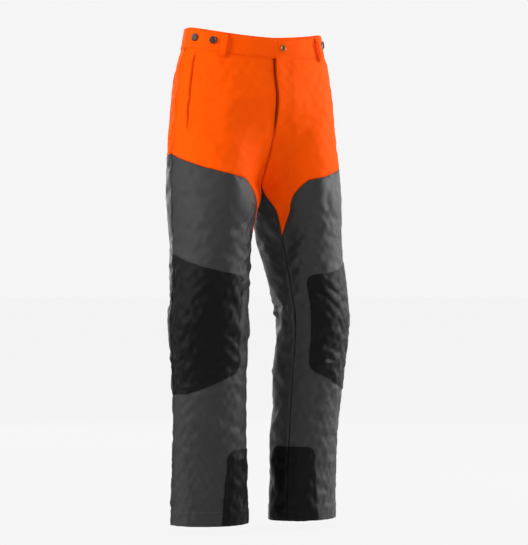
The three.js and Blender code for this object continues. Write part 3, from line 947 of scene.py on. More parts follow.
@dataclass(frozen=True)
class Travel:
    """The body that a piece rides on, or two bodies and two points between them, for a piece that spans a joint.
    """

    body: str
    to_body: str = ""
    start: tuple[float, float, float] = (0.0, 0.0, 0.0)
    end: tuple[float, float, float] = (0.0, 0.0, 0.0)

    def apply(self, piece: bpy.types.Object) -> None:
        """Rides a finished piece on its body; a piece that spans two bodies only has its transform baked into its
        mesh.
        """
        if self.to_body:
            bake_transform(piece)
        else:
            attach(piece, self.body)


HIPS = Travel("hips")


def hip_travel(side: Side) -> Travel:
    """The bend at a hip, which starts on a slant from the crotch to the outside of the hip."""
    start = (side.sign * 0.020, 0.0, -0.318)
    end = (side.sign * 0.105, 0.0, -0.462)
    return Travel("hips", f"thigh_{side.value}", start, end)


def knee_travel(side: Side) -> Travel:
    """The bend at a knee."""
    x = side.sign * 0.125
    return Travel(f"thigh_{side.value}", f"shin_{side.value}", (x, 0.0, -0.515), (x, 0.0, -0.765))


def shin_travel(side: Side) -> Travel:
    """A ride on the shin."""
    return Travel(f"shin_{side.value}")


@dataclass
class Outline:
    """A closed outline on the cloth, worked in metres across and up.

    The corners are given as round and depth, clockwise as seen from outside on the right half. Corners
    listed as sharp keep their point and the others are rounded off.
    """

    corners: tuple[tuple[float, float], ...]
    ring: float
    sharp: tuple[int, ...] = ()
    radius: float = 0.016
    points: Array = field(init=False)

    def __post_init__(self) -> None:
        """Rounds the corners."""
        flat = np.array(self.corners, float) * (self.ring, 1.0)
        found = []
        for k, corner in enumerate(flat):
            before, after = flat[k - 1], flat[(k + 1) % len(flat)]
            if k in self.sharp:
                found.append(corner)
                continue
            reach = min(self.radius, *(0.45 * np.linalg.norm(p - corner) for p in (before, after)))
            a = corner + (before - corner) / np.linalg.norm(before - corner) * reach
            b = corner + (after - corner) / np.linalg.norm(after - corner) * reach
            for t in np.linspace(0, 1, 7):
                found.append((1 - t) ** 2 * a + 2 * t * (1 - t) * corner + t**2 * b)
        self.points = self._spaced(np.array(found), 0.002)

    @staticmethod
    def _spaced(loop: Array, pitch: float) -> Array:
        """The loop again, with a point about every pitch but every corner kept."""
        out = []
        for a, b in zip(loop, np.roll(loop, -1, axis=0)):
            steps = max(1, int(np.linalg.norm(b - a) / pitch))
            out.extend(a + (b - a) * k / steps for k in range(steps))
        return np.array(out)

    def inside(self, place: Array) -> Array:
        """Distances inside the outline, negative outside.

        Args:
            place: round and depth, stacked.
        Returns:
            The distances, in metres.
        """
        shape = np.shape(place[0])
        p = np.stack([np.ravel(place[0]) * self.ring, np.ravel(place[1])], axis=-1)
        a, b = self.points, np.roll(self.points, -1, axis=0)
        step = b - a
        rel = p[:, None, :] - a[None]
        t = np.clip((rel * step).sum(-1) / np.maximum((step**2).sum(-1), 1e-18), 0, 1)
        gap = np.linalg.norm(rel - t[..., None] * step[None], axis=-1).min(axis=1)
        y, ay, by = p[:, 1][:, None], a[:, 1][None], b[:, 1][None]
        crosses = (ay > y) != (by > y)
        height = np.where(by == ay, 1e-12, by - ay)
        x_at = a[:, 0][None] + (y - ay) / height * (b - a)[:, 0][None]
        odd = (crosses & (p[:, 0][:, None] < x_at)).sum(axis=1) % 2 == 1
        return np.where(odd, gap, -gap).reshape(shape)

    def inset(self, distance: float) -> Array:
        """A loop of places at a distance inside the outline.

        Args:
            distance: how far in, in metres.
        Returns:
            Round and depth of each point.
        """
        tangent = np.roll(self.points, -1, axis=0) - np.roll(self.points, 1, axis=0)
        tangent /= np.maximum(np.linalg.norm(tangent, axis=1, keepdims=True), 1e-12)
        inward = np.stack([tangent[:, 1], -tangent[:, 0]], axis=-1)
        moved = self.points + inward * distance
        depths = self.inside(np.stack([moved[:, 0] / self.ring, moved[:, 1]]))
        kept = moved[depths > 0.96 * distance]
        return kept / (self.ring, 1.0)

    def seam_height(self, place: Array) -> Array:
        """How a sewn-on patch rises from its edge and dips along its two rows of stitches."""
        depth = self.inside(place)
        rise = 0.0007 * smooth(depth / 0.003) + 0.0005 * smooth((depth - 0.009) / 0.010)
        rows = sum(bell(depth - row, 0.0012) for row in STITCH_ROWS)
        return rise - 0.0005 * rows


@dataclass
class Workshop:
    """Cuts pieces from the garment, dresses them and hands them to the frame."""

    garment: Garment
    wardrobe: Wardrobe

    CLOSEST_COLUMNS = 0.0016
    BEVEL_ANGLE = math.radians(55)

    def finish(
        self,
        piece: bpy.types.Object,
        finish: Finish,
        travel: Travel,
        slot: str,
        replaces: tuple[str, ...] = (),
    ) -> bpy.types.Object:
        """Dresses a piece and fastens it to the frame.

        Args:
            piece: the finished object.
            finish: its finish.
            travel: how it moves.
            slot: not used.
            replaces: the CAD nodes it stands for.
        Returns:
            The piece.
        """
        piece.data.materials.clear()
        piece.data.materials.append(self.wardrobe.material(finish))
        piece.data.polygons.foreach_set("use_smooth", [True] * len(piece.data.polygons))
        travel.apply(piece)
        if replaces:
            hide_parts(*replaces)
        LOG.info("%s: %d faces", piece.name, len(piece.data.polygons))
        return piece

    def _columns(self, rounds: tuple[float, float], coarse: float) -> Array:
        """Places of the columns, closer together beside the seams."""
        half = self.garment.halves[Side.RIGHT]
        count = max(3, round((rounds[1] - rounds[0]) * FINE_COLUMNS / coarse)) + 1
        places = set(np.round(np.linspace(*rounds, count), 6))
        if coarse <= 1:
            ring = float(half.ring_length(np.array(-0.6)))
            for seam in (0.0, POCKET_ROUND, 0.5, 1.0):
                for step in SEAM_STEPS:
                    places.update(np.round([seam - step / ring, seam + step / ring], 6))
        ordered = [p for p in sorted(places) if rounds[0] <= p <= rounds[1]]
        kept = [ordered[0]]
        for place in ordered[1:-1]:
            if min(place - kept[-1], rounds[1] - place) > self.CLOSEST_COLUMNS:
                kept.append(place)
        return np.array([*kept, ordered[-1]])

    def cut(
        self,
        name: str,
        side: Side,
        rounds: tuple[float, float],
        depths: tuple[float, float] | tuple[Curve, Curve],
        keep: Curve | None = None,
        offset: float = 0.0,
        thickness: float = 1.4 * MM,
        coarse: float = 1,
        lift: Curve | None = None,
        plain: bool = False,
        rows: int = 0,
    ) -> bpy.types.Object:
        """Cuts a piece of fabric to its outline.

        Args:
            name: the piece's name.
            side: the half it is cut from.
            rounds: its two edges round the half.
            depths: its top and bottom, as depths or as curves of round.
            keep: takes round and depth stacked and is positive inside the outline.
            offset: its outer face's distance off the cloth.
            thickness: of the fabric.
            coarse: how many of the cloth's cells go into one of the piece's.
            lift: takes round and depth stacked and gives an extra height.
            plain: leaves the cloth's relief out.
            rows: how many rows of cells, or 0 to follow the cloth.
        Returns:
            The object, with a Solidify modifier.
        """
        columns = self._columns(rounds, coarse)
        top, bottom = (d(columns) if callable(d) else np.full_like(columns, d) for d in depths)
        count = rows or max(2, round(float((top - bottom).max()) / (FINE_ROW * coarse)))
        t = np.linspace(0, 1, count + 1)[:, None]
        d = lerp(top[None], bottom[None], t)
        r = np.broadcast_to(columns, d.shape)
        half = self.garment.halves[side]
        flip = side is Side.LEFT
        mesh, order = grid_mesh(name, np.stack([r, d, np.zeros_like(r)], axis=-1), flip)
        bm = bmesh.new()
        bm.from_mesh(mesh)
        if keep is not None:
            self._trim(bm, keep)
        layer = bm.loops.layers.uv.new("UVMap")
        bm.verts.index_update()
        where = np.array([v.co[:2] for v in bm.verts])
        height = offset + (lift(where.T) if lift else 0.0)
        points, _ = self.garment.sample(side, where[:, 0], where[:, 1], height, plain)
        along = np.stack([where[:, 0] * half.ring_length(where[:, 1]), where[:, 1]], axis=-1)
        for face in bm.faces:
            for loop in face.loops:
                loop[layer].uv = along[loop.vert.index]
        for vert in bm.verts:
            vert.co = points[vert.index]
        for edge in bm.edges:
            edge.smooth = not edge.is_boundary
        bm.to_mesh(mesh)
        bm.free()
        # Painted shade in the seams, the pocket's mouth and the fly's slit, which the material darkens the colour
        # with.
        shade = mesh.attributes.new("seam_shade", "FLOAT", "POINT")
        values = np.zeros(len(where)) if plain or offset else half.shade(where[:, 0], where[:, 1])
        shade.data.foreach_set("value", values)
        return self._solid(name, mesh, thickness)

    @staticmethod
    def _trim(bm: bmesh.types.BMesh, keep: Curve) -> None:
        """Cuts a flat grid along a curve and throws the outside away."""
        verts = list(bm.verts)
        places = np.array([v.co[:2] for v in verts]).T
        inside = dict(zip(verts, keep(places).tolist()))
        crossing = []
        for edge in list(bm.edges):
            a, b = edge.verts
            fa, fb = inside[a], inside[b]
            if (fa > 0) != (fb > 0) and min(abs(fa), abs(fb)) > 1e-9:
                share = min(0.98, max(0.02, fa / (fa - fb)))
                _, vert = bmesh.utils.edge_split(edge, a, share)
                inside[vert] = 0.0
                crossing.append(vert)
        bmesh.ops.connect_verts(bm, verts=crossing)
        gone = [f for f in bm.faces if sum(inside[v] for v in f.verts) <= 0]
        bmesh.ops.delete(bm, geom=gone, context="FACES")
        loose = [v for v in bm.verts if not v.link_faces]
        bmesh.ops.delete(bm, geom=loose, context="VERTS")

    @staticmethod
    def _solid(name: str, mesh: bpy.types.Mesh, thickness: float) -> bpy.types.Object:
        """An object whose sheet gets its thickness inwards."""
        piece = as_object(name, mesh)
        solid = piece.modifiers.new("thickness", "SOLIDIFY")
        solid.thickness = thickness
        solid.offset = -1.0
        return piece

    def soften(self, piece: bpy.types.Object, width: float, segments: int = 2) -> None:
        """Rounds a piece's cut edges.

        Args:
            piece: the object.
            width: of the rounding, in metres.
            segments: how many facets it gets.
        """
        bevel = piece.modifiers.new("edges", "BEVEL")
        bevel.width = width
        bevel.segments = segments
        bevel.limit_method = "ANGLE"
        bevel.angle_limit = self.BEVEL_ANGLE


def as_sheet(piece: bpy.types.Object) -> None:
    """Reads a sewn panel's UV map and does nothing more with it.

    Args:
        piece: the panel, whose UV map lies along the cloth in metres.
    """
    loops = np.zeros(len(piece.data.loops) * 2)
    piece.data.uv_layers["UVMap"].data.foreach_get("uv", loops)


# ---- Stitching ----------------------------------------------------------------------------


@dataclass
class Stitching:
    """Collects rows of stitches and makes one object for each thread, side and part of the garment."""

    shop: Workshop
    pitch: float = 0.0042
    rows: dict[tuple[Side, Finish, str], list[tuple[Array, Array]]] = field(default_factory=dict)

    def sew(
        self,
        side: Side,
        finish: Finish,
        part: str,
        places: Array,
        offset: float = 0.0,
        lift: Curve | None = None,
        closed: bool = False,
        pitch: float = 0.0,
    ) -> None:
        """Adds a row of stitches.

        Args:
            side: the half the places are on.
            finish: the thread.
            part: "waist", "band", "fly", "hip", "knee" or "shin", for how the row moves; the rows on the
                band and the fly leave the cloth's relief out.
            places: round and depth along the row.
            offset: the fabric's height off the cloth.
            lift: takes round and depth stacked and gives an extra height.
            closed: joins the row's end to its start.
            pitch: the stitch's length with its gap, or 0 for the usual one.
        """
        places = np.asarray(places, float)
        if closed:
            places = np.vstack([places, places[:1]])
        fine = []
        for a, b in zip(places, places[1:]):
            steps = max(1, int(max(abs(b[0] - a[0]) * 0.5, abs(b[1] - a[1])) / 0.001))
            fine.extend(a + (b - a) * k / steps for k in range(steps))
        fine = np.array([*fine, places[-1]])
        height = offset + (lift(fine.T) if lift else 0.0)
        plain = part in ("band", "fly")
        points, normals = self.shop.garment.sample(side, fine[:, 0], fine[:, 1], height, plain)
        gaps = np.linalg.norm(np.diff(points, axis=0), axis=1)
        usual = np.median(gaps) if len(gaps) else 0.0
        along = np.concatenate([[0], np.cumsum(np.minimum(gaps, 12 * usual + 0.002))])
        step = pitch or self.pitch
        count = int(along[-1] / step)
        if count < 1:
            return
        marks = (np.arange(count) + 0.5) * step
        middle = np.stack([np.interp(marks, along, points[:, k]) for k in range(3)], axis=-1)
        ahead = np.stack([np.interp(marks + step * 0.3, along, points[:, k]) for k in range(3)], axis=-1)
        out = np.stack([np.interp(marks, along, normals[:, k]) for k in range(3)], axis=-1)
        kept = np.linalg.norm(ahead - middle, axis=1) < step
        run = np.stack([middle, ahead - middle, out], axis=1)[kept]
        self.rows.setdefault((side, finish, part), []).append((run, np.full(len(run), step)))

    def build(self) -> None:
        """Makes the stitches' objects."""
        for (side, finish, part), rows in self.rows.items():
            runs = np.concatenate([r for r, _ in rows])
            steps = np.concatenate([p for _, p in rows])
            name = f"{finish.value.name}_{part}_{side.value}"
            piece = self._object(name, runs, steps)
            travel = {
                "waist": HIPS,
                "band": HIPS,
                "fly": hip_travel(side),
                "hip": hip_travel(side),
                "knee": knee_travel(side),
                "shin": shin_travel(side),
            }
            slot = "orange_fabric" if finish is Finish.ORANGE_THREAD else "grey_fabric"
            if finish is Finish.BLACK_THREAD:
                slot = "black_patch"
            self.shop.finish(piece, finish, travel[part], slot)

    @staticmethod
    def _object(name: str, runs: Array, steps: Array) -> bpy.types.Object:
        """One mesh of short rounded stitches."""
        bm = bmesh.new()
        bmesh.ops.create_icosphere(bm, subdivisions=1, radius=1.0)
        unit = np.array([v.co[:] for v in bm.verts])
        faces = np.array([[v.index for v in f.verts] for f in bm.faces])
        bm.free()
        forward = runs[:, 1] / np.maximum(np.linalg.norm(runs[:, 1], axis=1, keepdims=True), 1e-12)
        across = np.cross(runs[:, 2], forward)
        across /= np.maximum(np.linalg.norm(across, axis=1, keepdims=True), 1e-12)
        out = np.cross(forward, across)
        scale = np.stack([steps * 0.40, np.full(len(steps), 0.00042), np.full(len(steps), 0.00034)], axis=-1)
        local = unit[None] * scale[:, None]
        frame_axes = np.stack([forward, across, out], axis=1)
        points = np.einsum("nvk,nkc->nvc", local, frame_axes) + (runs[:, 0] + out * 0.00010)[:, None]
        count = len(unit)
        all_faces = (faces[None] + np.arange(len(runs))[:, None, None] * count).reshape(-1, 3)
        mesh = bpy.data.meshes.new(name)
        mesh.from_pydata(points.reshape(-1, 3).tolist(), [], all_faces.tolist())
        mesh.uv_layers.new(name="UVMap")
        return as_object(name, mesh)


# ---- Panels -------------------------------------------------------------------------------


@dataclass
class LegPanels:
    """The orange and grey fabric of one side, its seams' stitches and what is sewn inside and on it."""

    shop: Workshop
    stitching: Stitching
    side: Side

    PATCH_OFFSET, PATCH_THICKNESS = 1.2 * MM, 1.3 * MM
    INSIDE_OFFSET = -5 * MM
    PAD_ROUNDS, PAD_THICKNESS = (2 / 24, 11 / 24), 4.5 * MM
    SIDE_ROWS, SEAT_ROWS, POCKET_ROWS = (-0.0045, -0.0105), (-0.0040, -0.0095), (-0.0050, -0.0100)
    INSEAM_ROW, FLY_ROW, COLOUR_ROW, HEM_ROW = 0.0045, 0.0040, 0.0045, 0.031
    TACK_DEPTHS, TACK_ROWS, TACK_PITCH = (-0.056, -0.224), (-0.0006, 0.0006), 0.0021

    def build(self) -> None:
        """Cuts the panels of the front and the back, then the patches, pads and pocket."""
        for place, rounds in (("front", (0.0, 0.5)), ("back", (0.5, 1.0))):
            self._upper(place, rounds)
            self._thigh(place, rounds)
            self._lower(place, rounds)
        self._knee_patch()
        self._ankle_patch()
        self._guard_pads()
        self._pocket_bag()
        self._seams()

    def _name(self, stem: str) -> str:
        """A piece's name with its side's."""
        return f"{stem}_{self.side.value}"

    def _upper(self, place: str, rounds: tuple[float, float]) -> None:
        """The orange panel, from under the waistband to the colour seam."""
        low = -0.458 if place == "front" else -0.325
        piece = self.shop.cut(
            self._name(f"orange_{place}"), self.side, rounds, (lambda r: rim_depth(r) - 0.030, low),
            keep=lambda p: p[1] - colour_depth(p[0]),
        )
        nodes = (self._name(f"{place}_panel"), self._name(f"groin_{place}"))
        self.shop.finish(piece, Finish.ORANGE, hip_travel(self.side), "orange_fabric", nodes)
        as_sheet(piece)

    def _thigh(self, place: str, rounds: tuple[float, float]) -> None:
        """The grey panel from the colour seam to above the knee."""
        piece = self.shop.cut(
            self._name(f"grey_thigh_{place}"), self.side, rounds, (-0.268, KNEE_SPLIT),
            keep=lambda p: colour_depth(p[0]) - p[1],
        )
        nodes = (self._name(f"hip_{place}"), self._name(f"thigh_{place}"))
        self.shop.finish(piece, Finish.GREY, hip_travel(self.side), "grey_fabric", nodes)
        as_sheet(piece)

    def _lower(self, place: str, rounds: tuple[float, float]) -> None:
        """The grey panel from above the knee to the hem."""
        piece = self.shop.cut(self._name(f"grey_leg_{place}"), self.side, rounds, (KNEE_SPLIT, HEM))
        nodes = (self._name(f"knee_{place}"), self._name(f"shin_{place}"))
        self.shop.finish(piece, Finish.GREY, knee_travel(self.side), "grey_fabric", nodes)
        as_sheet(piece)

    def _ring(self, depth: float) -> float:
        """The way round this half at one depth."""
        return float(self.shop.garment.halves[self.side].ring_length(np.array(depth)))

    def _patch(
        self, part: str, outline: Outline, rounds: tuple[float, float], depths: tuple[float, float], travel: Travel
    ) -> None:
        """Sews a black patch on.

        Args:
            part: "knee" or "ankle".
            outline: its edge.
            rounds: the edges of the cloth it is cut from, round the half.
            depths: that cloth's top and bottom.
            travel: how it moves.
        """
        piece = self.shop.cut(
            self._name(f"{part}_cover"), self.side, rounds, depths,
            keep=outline.inside, offset=self.PATCH_OFFSET, thickness=self.PATCH_THICKNESS,
            lift=outline.seam_height,
        )
        self.shop.finish(piece, Finish.PATCH, travel, "black_patch", (self._name(f"{part}_patch"),))
        as_sheet(piece)
        for row in STITCH_ROWS:
            self.stitching.sew(
                self.side, Finish.BLACK_THREAD, "knee" if part == "knee" else "shin", outline.inset(row),
                self.PATCH_OFFSET, outline.seam_height, True,
            )

    def _knee_patch(self) -> None:
        """The black patch over the knee, sewn into the side seam."""
        outline = Outline(
            ((0.083, -0.535), (0.20, -0.528), (0.32, -0.516), (0.42, -0.500), (0.4965, -0.488),
             (0.4965, -0.788), (0.38, -0.787), (0.28, -0.774), (0.18, -0.755), (0.083, -0.738)),
            self._ring(-0.64), sharp=(1, 2, 3, 4, 5, 6, 7, 8), radius=0.022,
        )
        self._patch("knee", outline, (0.07, 0.5), (-0.484, -0.792), knee_travel(self.side))

    def _ankle_patch(self) -> None:
        """The black patch inside the ankle, which crosses the inseam."""
        outline = Outline(
            ((-0.092, -0.907), (0.152, -0.909), (0.182, -1.0690), (-0.104, -1.0690)),
            self._ring(-0.98), sharp=(2, 3), radius=0.024,
        )
        self._patch("ankle", outline, (-0.11, 0.20), (-0.905, -1.0695), shin_travel(self.side))

    def _guard_pads(self) -> None:
        """The layers of cut-protection fibre inside the front of the leg, quilted together."""
        for zone, depths, travel in (
            ("hip", (-0.205, -0.518), hip_travel(self.side)),
            ("knee", (-0.522, -0.758), knee_travel(self.side)),
            ("shin", (-0.762, -1.035), shin_travel(self.side)),
        ):
            piece = self.shop.cut(
                self._name(f"{zone}_wadding"), self.side, self.PAD_ROUNDS, depths,
                offset=self.INSIDE_OFFSET, thickness=self.PAD_THICKNESS, coarse=2, plain=True,
                lift=lambda p: -0.0009 * bell(np.sin(p[0] * 60), 0.25),
            )
            self.shop.soften(piece, 1.5 * MM)
            self.shop.finish(piece, Finish.PAD, travel, "guard_fibre", (self._name(f"guard_pad_{zone}"),))

    def _pocket_bag(self) -> None:
        """The bag of the side pocket, behind the front panel."""
        outline = Outline(
            ((0.292, -0.062), (0.482, -0.062), (0.482, -0.199), (0.292, -0.199)),
            self._ring(-0.13), sharp=(0, 1), radius=0.03,
        )
        piece = self.shop.cut(
            self._name("pocket_lining"), self.side, (0.285, 0.488), (-0.060, -0.201),
            keep=outline.inside, offset=self.INSIDE_OFFSET, thickness=2 * MM, coarse=2, plain=True,
        )
        self.shop.finish(piece, Finish.LINING, HIPS, "lining", (self._name("pocket_bag"),))
        as_sheet(piece)

    def _seams(self) -> None:
        """The rows of stitches along the garment's own seams."""
        sew, side = self.stitching.sew, self.side
        half = self.shop.garment.halves[side]
        orange, grey = Finish.ORANGE_THREAD, Finish.GREY_THREAD

        def down(offset: float, seam: float, top: float, bottom: float) -> Array:
            d = np.linspace(top, bottom, 60)
            return np.stack([seam + offset / half.ring_length(d), d], axis=-1)

        colour_at_side = float(colour_depth(np.array(0.5)))
        for offset in self.SIDE_ROWS:
            sew(side, orange, "hip", down(offset, 0.5, -0.050, colour_at_side + 0.004))
            sew(side, grey, "hip", down(offset, 0.5, colour_at_side - 0.004, KNEE_SPLIT))
            sew(side, grey, "knee", down(offset, 0.5, KNEE_SPLIT, -1.066))
        sew(side, grey, "hip", down(self.INSEAM_ROW, 0.0, -0.462, KNEE_SPLIT))
        sew(side, grey, "knee", down(self.INSEAM_ROW, 0.0, KNEE_SPLIT, -0.905))
        sew(side, orange, "hip", down(self.FLY_ROW, 0.0, FLY_BOTTOM - 0.004, CROTCH + 0.002))
        for offset in self.SEAT_ROWS:
            sew(side, orange, "hip", down(offset, 1.0, -0.050, -0.316))
        for r in (np.linspace(0.02, 0.495, 90), np.linspace(0.505, 0.995, 60)):
            sew(side, grey, "hip", np.stack([r, colour_depth(r) - self.COLOUR_ROW], axis=-1))
        hem = np.linspace(0.0, 1.0, 120)
        sew(side, grey, "knee", np.stack([hem, np.full_like(hem, HEM + self.HEM_ROW)], axis=-1))
        for offset in self.POCKET_ROWS:
            sew(side, orange, "waist", down(offset, POCKET_ROUND, -0.058, -0.222))
        for depth in self.TACK_DEPTHS:
            mark = np.linspace(-0.011, 0.004, 5) / self._ring(depth) + POCKET_ROUND
            for row in self.TACK_ROWS:
                places = np.stack([mark, np.full(5, depth + row)], axis=-1)
                sew(side, orange, "waist", places, pitch=self.TACK_PITCH)


# ---- Waist --------------------------------------------------------------------------------


@dataclass
class Waist:
    """The waistbands with their loops, and the seat pocket."""

    shop: Workshop
    stitching: Stitching

    BAND_OFFSET = 1.7 * MM
    BAND_ROWS = (0.003, 0.041)
    LOOP_OFFSET = 4.6 * MM
    LOOP_HALF = 0.0065 / 0.430
    POCKET_OFFSET = 1.4 * MM

    def build(self) -> None:
        """Makes the bands, the loops and the pocket."""
        for name, side, rounds in (
            ("waistband_right", Side.RIGHT, (0.0, 0.5)),
            ("waistband_left", Side.LEFT, (0.0, 0.5)),
            ("waistband_back", Side.RIGHT, (0.5, 1.5)),
        ):
            self._band(name, side, rounds)
        for side in Side:
            self._loop(f"belt_loop_front_{side.value}", side, 0.244)
            self._loop(f"belt_loop_back_{side.value}", side, 0.72)
        self._loop("belt_loop_centre_back", Side.RIGHT, 1.0)
        self._seat_pocket()

    def _band_height(self, place: Array) -> Array:
        """The band's swell between its two rows of stitches, and its slight waviness."""
        down = rim_depth(fold_back(place[0])) - place[1]
        swell = 0.0007 * np.sin(math.pi * np.clip(down / BAND_HEIGHT, 0, 1)) ** 0.6
        rows = sum(bell(down - row, 0.0013) for row in self.BAND_ROWS)
        wave = 0.0005 * np.sin(place[0] * 47) * np.sin(down / 0.013 + place[0] * 30)
        return swell - 0.0005 * rows + wave

    def _band(self, name: str, side: Side, rounds: tuple[float, float]) -> None:
        """One waistband, folded over at the rim."""
        piece = self.shop.cut(
            f"{name}_sewn", side, rounds,
            (lambda r: rim_depth(fold_back(r)), lambda r: band_depth(fold_back(r))),
            offset=self.BAND_OFFSET, thickness=3.6 * MM, lift=self._band_height, plain=True, rows=16,
        )
        self.shop.soften(piece, 1.4 * MM, 3)
        self.shop.finish(piece, Finish.ORANGE, HIPS, "orange_fabric", (name,))
        as_sheet(piece)
        r = np.linspace(rounds[0] + 0.004, rounds[1] - 0.004, 160)
        for row in self.BAND_ROWS:
            self.stitching.sew(
                side, Finish.ORANGE_THREAD, "band", np.stack([r, rim_depth(fold_back(r)) - row], axis=-1),
                self.BAND_OFFSET, self._band_height,
            )

    def _loop(self, name: str, side: Side, middle: float) -> None:
        """A belt loop, sewn down at both ends and standing off the band between them."""
        def stand(place: Array) -> Array:
            rim = rim_depth(fold_back(place[0]))
            t = np.clip((rim - 0.001 - place[1]) / (BAND_HEIGHT + 0.008), 0, 1)
            arch = 0.0058 * smooth((t - 0.04) / 0.20) * smooth((0.97 - t) / 0.20)
            crown = 0.0004 * np.cos(math.pi * (place[0] - middle) / self.LOOP_HALF / 2)
            return arch + crown

        rounds = (middle - self.LOOP_HALF, middle + self.LOOP_HALF)
        piece = self.shop.cut(
            f"{name}_sewn", side, rounds,
            (lambda r: rim_depth(fold_back(r)) - 0.001, lambda r: band_depth(fold_back(r)) - 0.009),
            offset=self.LOOP_OFFSET, thickness=1.9 * MM, lift=stand, plain=True, rows=40, coarse=0.8,
        )
        self.shop.soften(piece, 0.6 * MM)
        self.shop.finish(piece, Finish.ORANGE, HIPS, "orange_fabric", (name,))
        as_sheet(piece)
        across = np.linspace(rounds[0] + 0.002, rounds[1] - 0.002, 8)
        at_middle = float(fold_back(np.array(middle)))
        for depth in (rim_depth(at_middle) - 0.0035, band_depth(at_middle) - 0.0065):
            for row in (-0.0007, 0.0007):
                self.stitching.sew(
                    side, Finish.ORANGE_THREAD, "band", np.stack([across, np.full(8, depth + row)], axis=-1),
                    self.LOOP_OFFSET, stand, pitch=0.0019,
                )

    def _seat_pocket(self) -> None:
        """The patch pocket on the right of the seat, pointed at the bottom."""
        half = self.shop.garment.halves[Side.RIGHT]
        outline = Outline(
            ((0.627, -0.093), (0.873, -0.093), (0.873, -0.212), (0.75, -0.229), (0.627, -0.212)),
            float(half.ring_length(np.array(-0.15))), sharp=(0, 1, 3), radius=0.006,
        )
        piece = self.shop.cut(
            "seat_pocket_sewn", Side.RIGHT, (0.615, 0.885), (-0.090, -0.232),
            keep=outline.inside, offset=self.POCKET_OFFSET, thickness=1.3 * MM, lift=outline.seam_height,
        )
        self.shop.finish(piece, Finish.ORANGE, hip_travel(Side.RIGHT), "orange_fabric", ("seat_pocket",))
        as_sheet(piece)
        for row in STITCH_ROWS:
            self.stitching.sew(
                Side.RIGHT, Finish.ORANGE_THREAD, "hip", outline.inset(row), self.POCKET_OFFSET,
                outline.seam_height, True,
            )


# ---- Fastenings ---------------------------------------------------------------------------


@dataclass(frozen=True)
class TurnedProfile:
    """A button's outline from its axis out and back, as radius and height in millimetres."""

    points: tuple[tuple[float, float], ...]
    facets: int = 48

    def mesh(self, name: str) -> bpy.types.Mesh:
        """Spins the outline round the Z axis.

        Args:
            name: the mesh's name.
        Returns:
            The closed mesh.
        """
        bm = bmesh.new()
        verts = [bm.verts.new((r * MM, 0.0, z * MM)) for r, z in self.points]
        edges = [bm.edges.new(pair) for pair in zip(verts, verts[1:])]
        bmesh.ops.spin(
            bm, geom=[*verts, *edges], cent=(0, 0, 0), axis=(0, 0, 1), dvec=(0, 0, 0),
            angle=math.tau, steps=self.facets, use_merge=True, use_duplicate=False,
        )
        bmesh.ops.remove_doubles(bm, verts=bm.verts, dist=1e-7)
        bmesh.ops.recalc_face_normals(bm, faces=bm.faces)
        return as_mesh(bm, name)


def eased(points: tuple[tuple[float, float], ...], rounds: int = 2) -> tuple[tuple[float, float], ...]:
    """An outline with its corners cut, its two ends kept.

    Args:
        points: the outline.
        rounds: how many times the corners are cut.
    Returns:
        The softer outline.
    """
    for _ in range(rounds):
        cut = [points[0]]
        for a, b in zip(points, points[1:]):
            cut.append((a[0] * 0.8 + b[0] * 0.2, a[1] * 0.8 + b[1] * 0.2))
            cut.append((a[0] * 0.2 + b[0] * 0.8, a[1] * 0.2 + b[1] * 0.8))
        points = (*cut, points[-1])
    return points


BRACE_BUTTON = TurnedProfile(eased((
    (0, 0), (3.2, 0), (3.2, 1.5), (7.0, 1.9), (8.4, 2.8), (8.3, 4.0), (7.2, 4.8), (6.0, 4.5),
    (5.2, 3.9), (2.6, 3.9), (2.0, 4.9), (0, 5.0),
)))
WAIST_BUTTON = TurnedProfile(eased((
    (0, 0), (2.6, 0), (2.6, 1.5), (6.3, 1.9), (7.0, 2.7), (6.6, 3.7), (5.6, 4.2), (4.7, 3.8),
    (4.1, 3.1), (1.6, 3.1), (1.2, 3.5), (0, 3.6),
)))


